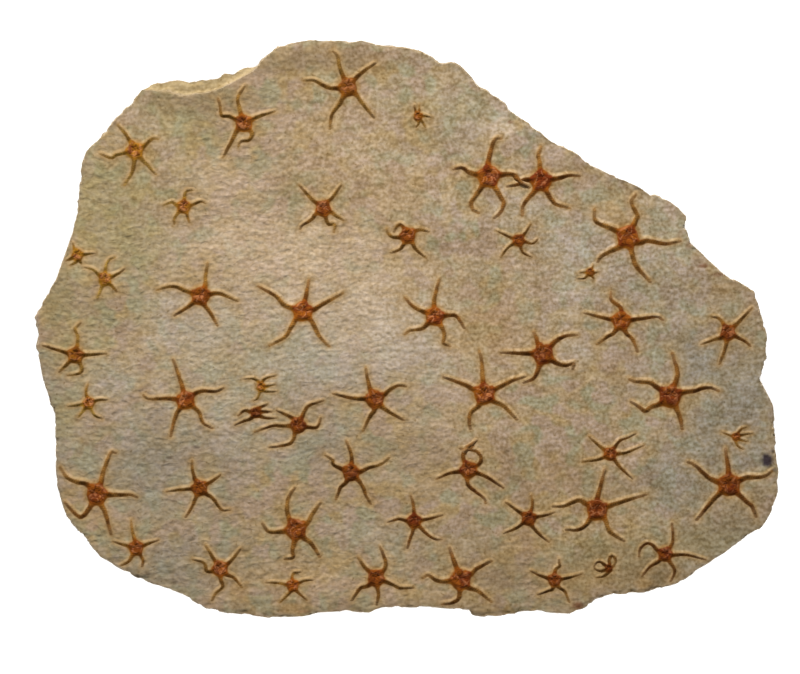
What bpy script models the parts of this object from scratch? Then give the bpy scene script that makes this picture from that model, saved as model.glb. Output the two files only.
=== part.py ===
"""Slab of pale sandstone with forty-eight fossil brittle stars standing in low relief on its face.

The slab lies on its flat back with the face up. The origin is under the middle of the slab, on the
surface that it rests on. Blender's own units are metres; the lists and sizes below are millimetres.
"""

import math

import bmesh
import bpy
from mathutils import Vector, noise

MM = 0.001

# The slab: a broken bed of sandstone. Each level is a height and how far the wall stands back there.
THICKNESS = 30.0
WALL_LEVELS = (
    (0.0, 3.6),
    (3.5, 1.2),
    (9.5, 2.4),
    (12.0, 0.7),
    (17.5, 1.9),
    (20.5, 0.0),
    (25.5, 0.9),
    (THICKNESS, 1.3),
)
WALL_ROUGHNESS = 1.5
WALL_GRAIN = 13.0
BED_TILT = 0.7
BED_WAVE = 90.0
FACE_GRID = 29.0
FACE_SWELL = 1.1
FACE_WAVE = 170.0
EDGE_DROP = 0.6
WELD = 0.9

# The ledge at the upper left, where the top bed has flaked off.
LEDGE_FLOOR = 25.0
LEDGE_TOP = THICKNESS + 15.0

# The fossils: a low disc with ridged arms. Sizes grow with the disc's radius.
FOSSIL_GAP = 0.3
RIM_SHARE = 0.88
DISC_BASE_HEIGHT = 0.9
DISC_HEIGHT_SHARE = 0.21
MOUTH_SHARE = 0.82
PETAL_SHARE = 0.45
ARM_BASE_WIDTH = 0.35
ARM_WIDTH_SHARE = 0.165
ARM_HEIGHT_SHARE = 0.68
TIP_WIDTH_SHARE = 0.4
TIP_HEIGHT_SHARE = 0.4
ROOT_CLEARANCE = 1.2
ROOT_ANGLE_SHARE = 0.42

STONE_COLOUR = (0.33, 0.26, 0.165, 1.0)
FOSSIL_COLOUR = (0.36, 0.13, 0.03, 1.0)

# The slab's broken outline from above, clockwise from its left corner.
OUTLINE = (
    (-298, 8), (-291, 22), (-281, 39), (-274, 56), (-267.5, 76), (-263.5, 99), (-260, 132), (-256, 142),
    (-247.5, 151.5), (-237, 163), (-228, 174), (-220, 181), (-211, 193), (-199, 197), (-182, 199.5),
    (-174, 197.5), (-165, 199), (-156, 201.5), (-151, 201), (-145, 205), (-139, 204), (-129, 209),
    (-120, 209), (-118, 214), (-103, 226), (-89, 230), (-70, 232), (-57, 232), (-42, 230), (-36, 231.5),
    (-20, 227), (-5, 226.5), (12, 223), (28, 214), (39, 214), (48, 207), (57, 196.5), (65, 191),
    (79.5, 181), (85, 173), (92, 170), (105, 160), (117, 149.5), (130, 145), (138, 139), (148, 131),
    (159, 126), (171, 121), (186, 114), (194, 108), (200, 108), (211, 102), (221, 96), (225, 90),
    (224.5, 81), (228, 69), (240, 57), (255, 44), (268, 37), (279, 30), (283.5, 15), (290, -5),
    (289, -24), (284, -41), (294, -62), (296.5, -101), (298, -111), (298, -125), (297.5, -136),
    (291, -150), (284.5, -160), (273, -167), (257, -178), (239, -190), (221, -203), (211, -206),
    (191, -212.5), (173, -213), (164, -213), (154, -217), (142, -224), (129, -229), (113, -227.5),
    (95, -226), (79, -230), (64, -231.5), (54, -230), (46, -225), (24, -224), (3, -223.5), (-22, -224),
    (-29, -228), (-49, -227), (-71, -228), (-81, -231), (-98, -232), (-110, -232), (-130, -229),
    (-149, -228), (-160, -225), (-170.5, -218), (-183.5, -211), (-200, -206), (-215, -200), (-226, -194),
    (-246, -182), (-261, -165), (-272.5, -150), (-280, -125), (-281, -101), (-281.5, -73), (-290, -44),
    (-296.5, -15), (-294.5, -5),
)

# The inner line of the ledge, from left to right, and the corners that take the cut past the edge.
LEDGE_LINE = (
    (-209, 190), (-192, 191), (-181, 187), (-170, 187.5), (-160, 188.5), (-150, 191), (-140, 196),
    (-130, 201), (-121, 206.5),
)
LEDGE_OUTSIDE = ((-115, 240), (-222, 240))

# Each fossil: centre, disc radius, and its arms as points from the root to the tip. A third number
# lifts a point where an arm lies across another.
STARFISH = (
    ((-216.5, 143), 6.5, (
        ((-220, 149), (-223, 155), (-230, 163)),
        ((-210, 146), (-203, 152), (-198, 152)),
        ((-210, 135), (-206, 131), (-200, 124)),
        ((-217, 134), (-218.5, 126), (-222, 120), (-225, 115)),
        ((-221, 139), (-231, 139.5), (-235.5, 137), (-244, 140)),
    )),
    ((-129.5, 164.5), 6.5, (
        ((-131.5, 171), (-133.5, 179), (-134, 186), (-129, 194)),
        ((-124, 168), (-118, 170), (-105, 174)),
        ((-124, 159), (-123, 155), (-126, 151), (-132, 150), (-134, 146)),
        ((-135, 159), (-139.5, 150), (-146.5, 137)),
        ((-135.5, 168), (-140.5, 170), (-147, 171), (-148.5, 179), (-150, 184)),
    )),
    ((-46.5, 193.5), 7, (
        ((-49.5, 200), (-52.5, 208), (-54.5, 218), (-58, 222)),
        ((-40, 201), (-33, 207), (-24.5, 212.5)),
        ((-40, 188), (-35, 181), (-25.5, 169)),
        ((-50, 186), (-53, 180), (-59, 172), (-61, 160)),
        ((-53, 193), (-61, 193), (-73, 198.5), (-81.5, 198.5)),
    )),
    ((9.5, 170), 3.5, (
        ((7.5, 175), (7, 179)),
        ((10.5, 175), (10.5, 179)),
        ((14, 170.5), (19.5, 169)),
        ((10, 165), (8, 161)),
        ((13.5, 165), (15.5, 161)),
    )),
    ((66, 122.5), 8.5, (
        ((65.5, 132), (66.5, 138), (70.5, 151), (76, 152.5)),
        ((57.5, 123), (52, 125), (45, 129), (38, 128)),
        ((74, 123.5), (84, 124), (89, 119, 1.7), (93, 115.5, 1.7), (99, 113)),
        ((60, 113.5), (55, 106), (52, 101), (53.5, 96), (58, 93)),
        ((71, 113.5), (75, 107), (78, 101), (75.5, 94), (70.5, 89)),
    )),
    ((108, 119), 8, (
        ((107, 127), (106.5, 134), (105.5, 139), (108, 146)),
        ((115, 119.5), (122, 121), (130, 123), (138.5, 122.5)),
        ((100, 121), (95, 119.5), (89.5, 116), (81, 114)),
        ((103, 111), (94, 100), (93, 91)),
        ((112, 111), (115.5, 105), (120, 100), (130.5, 97)),
    )),
    ((-262.5, 59.5), 4.5, (
        ((-262.5, 63), (-265, 65.5), (-266, 69)),
        ((-258, 59.5), (-249, 60.5)),
        ((-266, 58), (-271.5, 54.5)),
        ((-263.5, 54), (-268.5, 51)),
        ((-260.5, 55), (-259, 52)),
    )),
    ((-240.5, 40), 5, (
        ((-240, 44.5), (-239.5, 51), (-237, 55.5), (-232.5, 57.5)),
        ((-236, 42), (-231, 44), (-225, 48)),
        ((-237, 36), (-234, 34), (-231, 30)),
        ((-242.5, 35.5), (-246.5, 25)),
        ((-245, 43.5), (-249.5, 47.5), (-256.5, 49.5)),
    )),
    ((-177.5, 98), 5, (
        ((-177.5, 103), (-176, 109.5), (-170, 111)),
        ((-171, 99.5), (-164, 102), (-160, 100.5)),
        ((-175, 93), (-173, 85)),
        ((-181, 94), (-184.5, 90), (-185, 84)),
        ((-183, 99.5), (-187, 101.5), (-193.5, 99)),
    )),
    ((-164, 27), 7, (
        ((-160.5, 35), (-160, 43), (-158.5, 53)),
        ((-156, 28.5), (-148, 28.5), (-134.5, 22.5)),
        ((-161, 20), (-156, 13), (-150.5, 3)),
        ((-167, 21), (-173, 19), (-185, 11)),
        ((-171, 29), (-176, 31), (-183, 34), (-190, 34), (-199, 31.5)),
    )),
    ((-66, 96.5), 6, (
        ((-71, 101), (-75, 104), (-85, 115)),
        ((-62.5, 102), (-58.5, 106), (-52, 115)),
        ((-71.5, 93), (-76, 87.5), (-83, 83), (-84.5, 80)),
        ((-60, 94), (-55.5, 90.5), (-50, 87)),
        ((-65, 90.5), (-62, 84.5), (-57, 84), (-57.5, 77.5)),
    )),
    ((-82.5, 14.5), 7.5, (
        ((-81.5, 22), (-79.5, 29), (-77.5, 39.5)),
        ((-74, 16), (-68, 19.5), (-50.5, 29)),
        ((-76.5, 8.5), (-73, 2.5), (-69, -5.5), (-61.5, -13.5)),
        ((-88, 8.5), (-92, 1.5), (-97, -6), (-109, -13)),
        ((-89, 16.5), (-97, 19.5), (-103, 26), (-118, 34.5)),
    )),
    ((1.5, 75), 6, (
        ((-0.5, 81), (-3, 83), (-7, 82.5), (-9.5, 78)),
        ((-4, 73.5), (-9, 73.5), (-14, 76.5), (-15.5, 80.5)),
        ((5, 78), (9, 79.5), (18, 78)),
        ((0, 69.5), (-4, 65), (-11.5, 61)),
        ((5, 69.5), (8.5, 63.5), (16, 57)),
    )),
    ((90, 71), 4.5, (
        ((86, 73), (79, 75.5), (72.5, 78.5)),
        ((91, 75), (95, 77), (99.5, 84)),
        ((95, 70), (101, 68.5), (105, 72)),
        ((91.5, 66.5), (93.5, 61.5), (100.5, 57.5)),
        ((86, 69.5), (81.5, 65.5), (75.5, 57.5)),
    )),
    ((23, 10.5), 7, (
        ((22.5, 18.5), (23, 26), (26.5, 40)),
        ((15, 14), (9, 16.5), (4, 20), (-1, 25.5)),
        ((28.5, 11), (35, 11.5), (41, 10), (46.5, 1)),
        ((16, 3.5), (12, 0.5), (3, -1), (-1, -4)),
        ((27, 4.5), (29.5, 0), (30.5, -5.5), (30, -11), (35, -13.5)),
    )),
    ((147, 45.5), 3, (
        ((147.5, 48.5), (149.5, 51.5)),
        ((150, 46.5), (153, 45)),
        ((142, 45.5), (138, 44.5)),
        ((144.5, 43), (142, 40.5), (137, 40)),
        ((148.5, 42.5), (150, 40)),
    )),
    ((177, 74), 8.5, (
        ((180, 82), (183.5, 87.5), (184.5, 91.5), (180, 102), (183.5, 108)),
        ((186, 69.5), (193, 71), (207, 68.5), (219, 70.5)),
        ((180, 63.5), (181.5, 56.5), (184, 50.5), (195, 38)),
        ((171, 66.5), (166, 64), (156, 58.5), (153, 54)),
        ((169, 78.5), (162, 81.5), (151.5, 86.5), (150.5, 96)),
    )),
    ((172, 7), 7, (
        ((172, 15.5), (170, 19), (164, 23.5), (163.5, 30)),
        ((178, 8.5), (186, 8.5), (200, 10), (205, 7.5)),
        ((176, -3), (181, -7.5), (185, -18)),
        ((166, -2.5), (161, -5.5), (152.5, -12)),
        ((166, 7.5), (160, 9), (142.5, 13)),
    )),
    ((257, -2.5), 6, (
        ((254, 3.5), (250.5, 8.5), (244.5, 10)),
        ((262, 1.5), (266, 6.5), (276, 17)),
        ((262, -5.5), (270, -9), (275, -13.5)),
        ((256, -10), (254.5, -16.5), (250, -28)),
        ((251.5, -6.5), (246, -8), (236, -12)),
    )),
    ((-264, -20.5), 6, (
        ((-262.5, -14.5), (-262, -6.5), (-264, 0.5), (-260, 5)),
        ((-270, -20.5), (-276, -17), (-290, -13)),
        ((-258.5, -19.5), (-250, -20), (-239.5, -19.5)),
        ((-267, -25), (-271, -28), (-277, -34)),
        ((-260, -25), (-259, -30.5), (-261, -35), (-269.5, -37)),
    )),
    ((-253.5, -59), 4.5, (
        ((-254, -55), (-255.5, -49.5), (-254, -43.5)),
        ((-250, -58.5), (-246, -56.5), (-238.5, -56.5)),
        ((-250.5, -62.5), (-248.5, -68.5), (-243, -71.5)),
        ((-255, -63.5), (-262, -70.5)),
        ((-257, -59), (-262, -60.5), (-269.5, -61.5)),
    )),
    ((-176, -56.5), 7, (
        ((-178, -50.5), (-179.5, -42.5), (-186, -24)),
        ((-170, -52.5), (-165, -49.5), (-152, -49.5), (-146, -47)),
        ((-170, -61.5), (-165, -66.5), (-162, -74.5), (-155, -79)),
        ((-181, -63.5), (-184.5, -70.5), (-188, -85.5)),
        ((-182, -55.5), (-190, -55), (-205, -55.5), (-209.5, -52.5)),
    )),
    ((-116, -46), 3.5, (
        ((-118, -41.5), (-123, -39.5), (-130, -40)),
        ((-114.5, -41), (-110, -38.5), (-104, -37.5)),
        ((-113, -44.5), (-104.5, -44.5)),
        ((-113, -49.5), (-103.5, -50)),
        ((-117, -50.5), (-119, -55.5), (-122, -57.5)),
    )),
    ((-120, -66.5), 4, (
        ((-124, -64.5), (-129, -65), (-134, -69)),
        ((-124, -71), (-130, -73.5), (-136.5, -76.5)),
        ((-117, -62.5), (-111, -60)),
        ((-115, -65.5), (-107.5, -66)),
        ((-116, -69.5), (-110, -71), (-104, -71)),
    )),
    ((-86, -76.5), 6, (
        ((-83, -69.5), (-80, -63.5), (-77, -60.5), (-66, -57)),
        ((-91, -70.5), (-97, -67.5), (-103, -65)),
        ((-92, -77), (-100, -77), (-107, -77), (-120.5, -82)),
        ((-88.5, -82.5), (-90.5, -88.5), (-95, -92), (-109, -94.5)),
        ((-80, -78), (-74, -78.5), (-70.5, -77), (-68, -70.5)),
    )),
    ((-25, -55.5), 7, (
        ((-28, -48.5), (-30.5, -40.5), (-32, -30.5)),
        ((-18, -52.5), (-13, -48), (-7, -45), (0, -45.5)),
        ((-18.5, -62), (-13, -66), (-2, -72.5)),
        ((-25.5, -64.5), (-29, -69.5), (-34.5, -81)),
        ((-31, -55), (-40, -55), (-47, -54), (-58, -51.5)),
    )),
    ((-44, -114), 6.5, (
        ((-43.5, -107.5), (-43.5, -100.5), (-47.5, -89)),
        ((-37, -113.5), (-30, -110.5), (-20, -107.5), (-13.5, -102.5)),
        ((-37, -121.5), (-34, -126.5), (-32, -132.5), (-28, -139.5)),
        ((-48, -122), (-52.5, -126.5), (-56, -136)),
        ((-49.5, -111.5), (-57, -108.5), (-59, -104), (-64.5, -100.5)),
    )),
    ((62.5, -51.5), 8, (
        ((61, -43.5), (61, -35.5), (60.5, -26.5), (58.5, -17)),
        ((71, -47.5), (79, -43.5), (87, -40), (95, -38)),
        ((71, -57.5), (78, -61), (83, -66), (88.5, -72)),
        ((58, -60.5), (52, -66), (50.5, -71.5), (51.5, -79.5)),
        ((53.5, -47.5), (47, -44), (30, -38)),
    )),
    ((109.5, -19.5), 8, (
        ((105.5, -11.5), (103.5, -5.5), (102, -2)),
        ((115.5, -13), (121, -8), (128, -5), (136.5, -4.5)),
        ((116, -24), (121, -27), (128, -28.5), (134, -27), (133, -31.5)),
        ((106.5, -28.5), (104.5, -34.5), (101, -39.5), (94, -42.5)),
        ((102.5, -18.5), (94, -19), (76, -18.5)),
    )),
    ((49.8, -112), 6.5, (
        ((46.5, -106.5), (45.5, -101.5), (48, -96.5, 1.8), (52, -93, 1.8), (56.5, -88.5)),
        ((58, -107.5), (60, -102.5), (56.5, -97.5), (50, -96), (43, -95)),
        ((57, -114.5), (65, -118), (77.5, -126.5)),
        ((49, -121.5), (52, -126.5), (62, -134.5), (63.5, -139)),
        ((42, -113.5), (34, -115), (24.5, -119.5)),
    )),
    ((211, -53.5), 8.5, (
        ((213.5, -46.5), (216, -39.5), (216.5, -32.5), (212.5, -19)),
        ((221, -50), (230, -49), (236, -47), (243, -46.5), (249.5, -49)),
        ((215, -61.5), (218, -67.5), (220.5, -79.5)),
        ((202, -59.5), (196, -61.5), (191, -65), (186, -61.5), (180, -58)),
        ((201, -46.5), (195, -42.5), (183, -41.5), (178, -39.5)),
    )),
    ((163, -99.5), 5, (
        ((159, -96.5), (154, -92.5), (146, -85.5)),
        ((165.5, -95), (170, -89.5), (177, -86.5), (183.5, -83.5)),
        ((168, -99), (175, -98.5), (189.5, -93)),
        ((167, -104.5), (171.5, -110.5), (181, -119.5)),
        ((159, -102.5), (153, -104), (140.5, -106)),
    )),
    ((263.5, -86), 3, (
        ((261, -85), (252.5, -82.5)),
        ((265, -83), (267, -80), (272, -78.5)),
        ((267, -84.5), (276, -83.5)),
        ((266.5, -88), (272.5, -90)),
        ((263.5, -89.5), (265.5, -93.5), (269, -96)),
    )),
    ((258, -124), 8.5, (
        ((256.5, -115.5), (257, -108.5), (255, -95.5)),
        ((264, -120), (271, -118.5), (285, -117.5), (292, -113)),
        ((264, -130.5), (271, -136.5), (276.5, -141.5), (279.5, -149.5)),
        ((249.5, -131.5), (243, -138.5), (232, -152)),
        ((250, -120.5), (243, -119), (231, -108.5), (225, -106)),
    )),
    ((-247, -131.5), 8, (
        ((-243, -119.5), (-241, -111.5), (-236, -99), (-232, -98.5)),
        ((-255, -123.5), (-262, -122), (-270, -118.5), (-276, -110.5)),
        ((-239, -133), (-229, -132), (-220, -132), (-215, -134)),
        ((-243, -140.5), (-240, -146.5), (-235.5, -163.5)),
        ((-251.5, -140.5), (-258, -149), (-263, -148), (-272.5, -138)),
    )),
    ((-215.5, -174.5), 5.5, (
        ((-216.5, -168.5), (-218.5, -160.5), (-219.5, -152.5)),
        ((-211, -173), (-206, -171), (-198, -168.5)),
        ((-212, -180), (-210, -184.5), (-211, -189.5)),
        ((-218.5, -180.5), (-222, -185.5), (-228, -189)),
        ((-221, -172.5), (-227, -171.5), (-233.5, -169.5)),
    )),
    ((-165, -126.5), 6, (
        ((-168.5, -119.5), (-170.5, -111.5), (-171, -104.5)),
        ((-160, -123.5), (-155, -121), (-148.5, -116.5)),
        ((-159, -131.5), (-154, -135), (-147, -144), (-141, -144.5)),
        ((-166.5, -132.5), (-170, -139.5), (-176, -150)),
        ((-171, -128), (-180, -128), (-191, -129.5)),
    )),
    ((-88, -159.5), 8, (
        ((-93, -151.5), (-95, -143.5), (-94, -134.5), (-89, -126.5)),
        ((-79, -154.5), (-75, -147.5), (-68.5, -138.5)),
        ((-81, -166.5), (-75, -171.5), (-69, -181.5)),
        ((-89, -168.5), (-90.5, -175.5), (-90.5, -182), (-96.5, -183.5)),
        ((-96, -161), (-102, -161.5), (-110, -161), (-114.5, -155)),
    )),
    ((-148.5, -191), 6, (
        ((-152, -185.5), (-155.5, -179.5), (-160, -172.5)),
        ((-143, -187.5), (-138, -182.5), (-132, -175)),
        ((-143, -195.5), (-137, -198.5), (-131, -206)),
        ((-148, -198.5), (-146.5, -205.5), (-152, -210.5), (-155, -216.5)),
        ((-153, -194.5), (-158.5, -193), (-161, -186.5), (-170, -184)),
    )),
    ((-90.5, -204.5), 4.5, (
        ((-90.5, -200.5), (-90.5, -195.5), (-84, -194)),
        ((-86, -203.5), (-82, -201), (-74.5, -200.5)),
        ((-87, -209), (-79, -216.5)),
        ((-92.5, -209.5), (-101, -218.5)),
        ((-96, -203.5), (-103, -202.5), (-112, -202.5)),
    )),
    ((-24, -198.5), 6.5, (
        ((-29, -193.5), (-33, -189.5), (-38, -182.5)),
        ((-19, -193.5), (-16.5, -189.5), (-16.5, -184.5), (-20.5, -173.5)),
        ((-18, -201.5), (-11, -203.5), (-5, -206.5), (5.5, -206.5)),
        ((-23, -205.5), (-22, -211.5), (-23.5, -220)),
        ((-30.5, -204.5), (-37, -207), (-43.5, -216.5)),
    )),
    ((6.5, -153), 5.5, (
        ((6.5, -148), (6, -140.5), (4, -133)),
        ((12, -153), (19, -151), (29, -148.5)),
        ((11.5, -158), (17, -163.5), (23, -167.5), (28.5, -168)),
        ((5.5, -160.5), (3, -167.5), (1, -175)),
        ((0, -152.5), (-6, -151.5), (-14.5, -154)),
    )),
    ((43.5, -199.5), 8, (
        ((40.5, -190.5), (37.5, -182.5), (35, -174.5)),
        ((52, -195), (57, -190.5), (68, -185)),
        ((50, -206), (58, -209), (68, -217.5)),
        ((43, -208.5), (41.5, -215), (36, -218.5), (29, -219.5)),
        ((36, -200.5), (27, -201), (18, -196.5), (13.5, -198.5)),
    )),
    ((98, -151), 5.5, (
        ((100, -145.5), (101, -139.5), (100, -132.5)),
        ((104, -149.5), (111, -148.5), (118, -146.5)),
        ((101, -157), (106.5, -163.5), (114, -170)),
        ((94, -155), (88, -158.5), (78, -163)),
        ((92.5, -147), (86, -142.5), (79.5, -138)),
    )),
    ((118.5, -200), 5, (
        ((117, -195.5), (119.5, -191.5), (122.5, -189), (122, -183.5)),
        ((123, -199.5), (131, -198), (140, -195.5)),
        ((122, -205.5), (127, -209.5), (130.5, -218)),
        ((117, -207), (113, -209), (105.5, -212)),
        ((114, -200), (107, -196.5), (99.5, -193)),
    )),
    ((152.5, -144), 8, (
        ((153, -134.5), (155, -126.5), (157, -118.5), (159, -111.5)),
        ((160, -141), (169, -138.5), (186, -133.5), (191.5, -132)),
        ((159, -151.5), (161, -157.5), (164, -162.5), (174, -169)),
        ((147, -151.5), (143, -156.5), (137, -160), (128, -160)),
        ((143, -138.5), (137, -136.5), (126, -141), (117.5, -141.5)),
    )),
    ((162, -191), 3, (
        ((163.5, -187.5), (162.5, -182.5), (166, -180.5), (169.5, -183.5), (168.5, -188)),
        ((160, -188.5), (156, -186), (150, -187.5)),
        ((159, -192), (153, -193), (146, -192)),
        ((161, -194.5), (157, -197.5), (152, -198.5)),
    )),
    ((207, -179.5), 5.5, (
        ((211, -173.5), (213, -167.5), (212.5, -154.5)),
        ((213, -180), (224, -180), (239, -184)),
        ((211, -186), (214.5, -192.5), (211.5, -201)),
        ((201, -185.5), (194, -190), (188.5, -197)),
        ((201, -176.5), (197, -172), (192, -171), (187, -175), (186, -181.5)),
    )),
)


def remove_old_objects():
    """Clears the scene of its objects."""
    for old in list(bpy.data.objects):
        bpy.data.objects.remove(old)


def new_collection(name):
    """Makes a collection under the scene."""
    group = bpy.data.collections.new(name)
    bpy.context.scene.collection.children.link(group)
    return group


def plain_material(name, colour, roughness):
    """Makes a material of one colour that isn't metallic."""
    material = bpy.data.materials.new(name)
    material.use_nodes = True
    shader = material.node_tree.nodes["Principled BSDF"]
    shader.inputs["Base Color"].default_value = colour
    shader.inputs["Roughness"].default_value = roughness
    shader.inputs["Metallic"].default_value = 0.0
    return material


def face_height(x, y):
    """Height of the slab's gently swelling face at a place, all in millimetres."""
    place = Vector((x / FACE_WAVE, y / FACE_WAVE, 0.5))
    return THICKNESS + FACE_SWELL * noise.noise(place)


def extruded_outline(name, outline, low, high, group):
    """Makes a closed prism from a flat outline, as a mesh object with one polygon at each end."""
    curve = bpy.data.curves.new(name, "CURVE")
    curve.dimensions = "2D"
    curve.fill_mode = "BOTH"
    curve.extrude = (high - low) / 2 * MM
    spline = curve.splines.new("POLY")
    spline.points.add(len(outline) - 1)
    for point, (x, y) in zip(spline.points, outline):
        point.co = (x * MM, y * MM, 0.0, 1.0)
    spline.use_cyclic_u = True
    drawn = bpy.data.objects.new(name + "_outline", curve)
    drawn.location.z = (low + high) / 2 * MM
    group.objects.link(drawn)
    bpy.context.view_layer.update()
    evaluated = drawn.evaluated_get(bpy.context.evaluated_depsgraph_get())
    mesh = bpy.data.meshes.new_from_object(evaluated)
    mesh.transform(drawn.matrix_world)
    bpy.data.objects.remove(drawn)
    weld_and_merge_caps(mesh)
    prism = bpy.data.objects.new(name, mesh)
    group.objects.link(prism)
    return prism


def weld_and_merge_caps(mesh):
    """Joins the loose caps of a filled curve to its sides and makes each cap one polygon."""
    shape = bmesh.new()
    shape.from_mesh(mesh)
    bmesh.ops.remove_doubles(shape, verts=shape.verts, dist=0.01 * MM)
    for side in (-1, 1):
        cap = [face for face in shape.faces if face.normal.z * side > 0.9]
        bmesh.ops.dissolve_faces(shape, faces=cap, use_verts=False)
    bmesh.ops.recalc_face_normals(shape, faces=shape.faces)
    shape.to_mesh(mesh)
    shape.free()


def cut_walls_at_beds(shape):
    """Cuts a ring of edges round the slab at each bed between its back and its face."""
    for height, _ in WALL_LEVELS[1:-1]:
        whole = shape.verts[:] + shape.edges[:] + shape.faces[:]
        level = Vector((0.0, 0.0, height * MM))
        bmesh.ops.bisect_plane(shape, geom=whole, plane_co=level, plane_no=(0.0, 0.0, 1.0))


def cut_face_grid(shape):
    """Cuts the face alone into squares, so that it can swell."""
    reach = max(max(abs(x), abs(y)) for x, y in OUTLINE)
    half_count = int(reach / FACE_GRID) + 1
    for axis in ((1.0, 0.0, 0.0), (0.0, 1.0, 0.0)):
        for index in range(-half_count, half_count + 1):
            top = [face for face in shape.faces if face.normal.z > 0.9]
            edges = {edge for face in top for edge in face.edges}
            verts = {vert for face in top for vert in face.verts}
            place = Vector(axis) * (index + 0.5) * FACE_GRID * MM
            bmesh.ops.bisect_plane(
                shape, geom=top + list(edges) + list(verts), plane_co=place, plane_no=axis
            )
    bmesh.ops.remove_doubles(shape, verts=shape.verts, dist=WELD * MM)


def wall_recess(x, y, height, stand_back):
    """How far the broken wall stands back at a place, in millimetres, and never outward."""
    if stand_back == 0.0:
        return 0.0
    place = Vector((x / WALL_GRAIN, y / WALL_GRAIN, height))
    return max(0.0, stand_back + WALL_ROUGHNESS * noise.noise(place))


def roughen_slab(shape):
    """Steps the walls in and out by their beds, and lays the face on its swell."""
    levels = dict(WALL_LEVELS)
    shape.normal_update()
    outward = {}
    on_wall = {}
    for vert in shape.verts:
        outward[vert] = Vector((vert.normal.x, vert.normal.y, 0.0))
        on_wall[vert] = any(abs(face.normal.z) < 0.5 for face in vert.link_faces)
    for vert, normal in outward.items():
        x, y, height = (value / MM for value in vert.co)
        level = min(levels, key=lambda known: abs(known - height))
        if on_wall[vert] and normal.length > 0.0:
            vert.co -= normal.normalized() * wall_recess(x, y, level, levels[level]) * MM
        if level == THICKNESS:
            drop = EDGE_DROP if on_wall[vert] else 0.0
            vert.co.z = (face_height(x, y) - drop) * MM
        elif level > 0.0:
            place = Vector((x / BED_WAVE, y / BED_WAVE, level))
            vert.co.z += BED_TILT * noise.noise(place) * MM


def build_slab(group, cutters, material):
    """The stone itself: one solid with a stepped broken edge, a flat back and a ledge."""
    slab = extruded_outline("slab", OUTLINE, 0.0, THICKNESS, group)
    shape = bmesh.new()
    shape.from_mesh(slab.data)
    cut_walls_at_beds(shape)
    cut_face_grid(shape)
    roughen_slab(shape)
    bmesh.ops.triangulate(shape, faces=shape.faces)
    shape.to_mesh(slab.data)
    shape.free()
    slab.data.materials.append(material)
    ledge = extruded_outline("ledge_cut", LEDGE_LINE + LEDGE_OUTSIDE, LEDGE_FLOOR, LEDGE_TOP, cutters)
    ledge.hide_render = True
    ledge.display_type = "WIRE"
    cut = slab.modifiers.new("ledge", "BOOLEAN")
    cut.operation = "DIFFERENCE"
    cut.object = ledge
    return slab


def on_face(x, y, rise):
    """A point above the slab's face, in metres, by its rise over the fossils' underside."""
    return Vector((x, y, face_height(x, y) + FOSSIL_GAP + rise)) * MM


def bearing(centre, point):
    """Direction of a point from a centre, as an angle."""
    return math.atan2(point[1] - centre[1], point[0] - centre[0])


def trimmed_route(centre, radius, route):
    """An arm's points, without those that lie too near the disc's rim."""
    rim = radius * RIM_SHARE + ROOT_CLEARANCE
    start = 0
    while start < len(route) - 1 and math.dist(centre, route[start][:2]) < rim:
        start += 1
    return route[start:]


def root_half_angle(index, bearings, widest):
    """Half of the angle that an arm's root takes on the rim, kept clear of its neighbours."""
    here = bearings[index]
    before = (here - bearings[index - 1]) % math.tau
    after = (bearings[(index + 1) % len(bearings)] - here) % math.tau
    return min(widest, ROOT_ANGLE_SHARE * before, ROOT_ANGLE_SHARE * after)


def arm_tangent(points, index):
    """Unit direction of an arm's line at one of its points."""
    ahead = points[min(index + 1, len(points) - 1)]
    behind = points[max(index - 1, 0)]
    return Vector((ahead[0] - behind[0], ahead[1] - behind[1])).normalized()


def loft_arm(shape, root, start, route, width, height):
    """Adds an arm: triangular sections that taper from the root's three corners to a point."""
    points = (start,) + route
    previous = root
    for index in range(1, len(points) - 1):
        x, y = points[index][:2]
        lift = points[index][2] if len(points[index]) > 2 else 0.0
        share = index / (len(points) - 1)
        half = width * (1 - share * (1 - TIP_WIDTH_SHARE))
        rise = height * (1 - share * (1 - TIP_HEIGHT_SHARE))
        along = arm_tangent(points, index)
        left = shape.verts.new(on_face(x - along.y * half, y + along.x * half, lift))
        right = shape.verts.new(on_face(x + along.y * half, y - along.x * half, lift))
        ridge = shape.verts.new(on_face(x, y, lift + rise))
        section = (right, left, ridge)
        for corner in range(3):
            turn = (corner + 1) % 3
            shape.faces.new((previous[corner], previous[turn], section[turn], section[corner]))
        previous = section
    tip_x, tip_y = points[-1][:2]
    tip = shape.verts.new(on_face(tip_x, tip_y, height * TIP_HEIGHT_SHARE / 2))
    for corner in range(3):
        shape.faces.new((previous[corner], previous[(corner + 1) % 3], tip))


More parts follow.
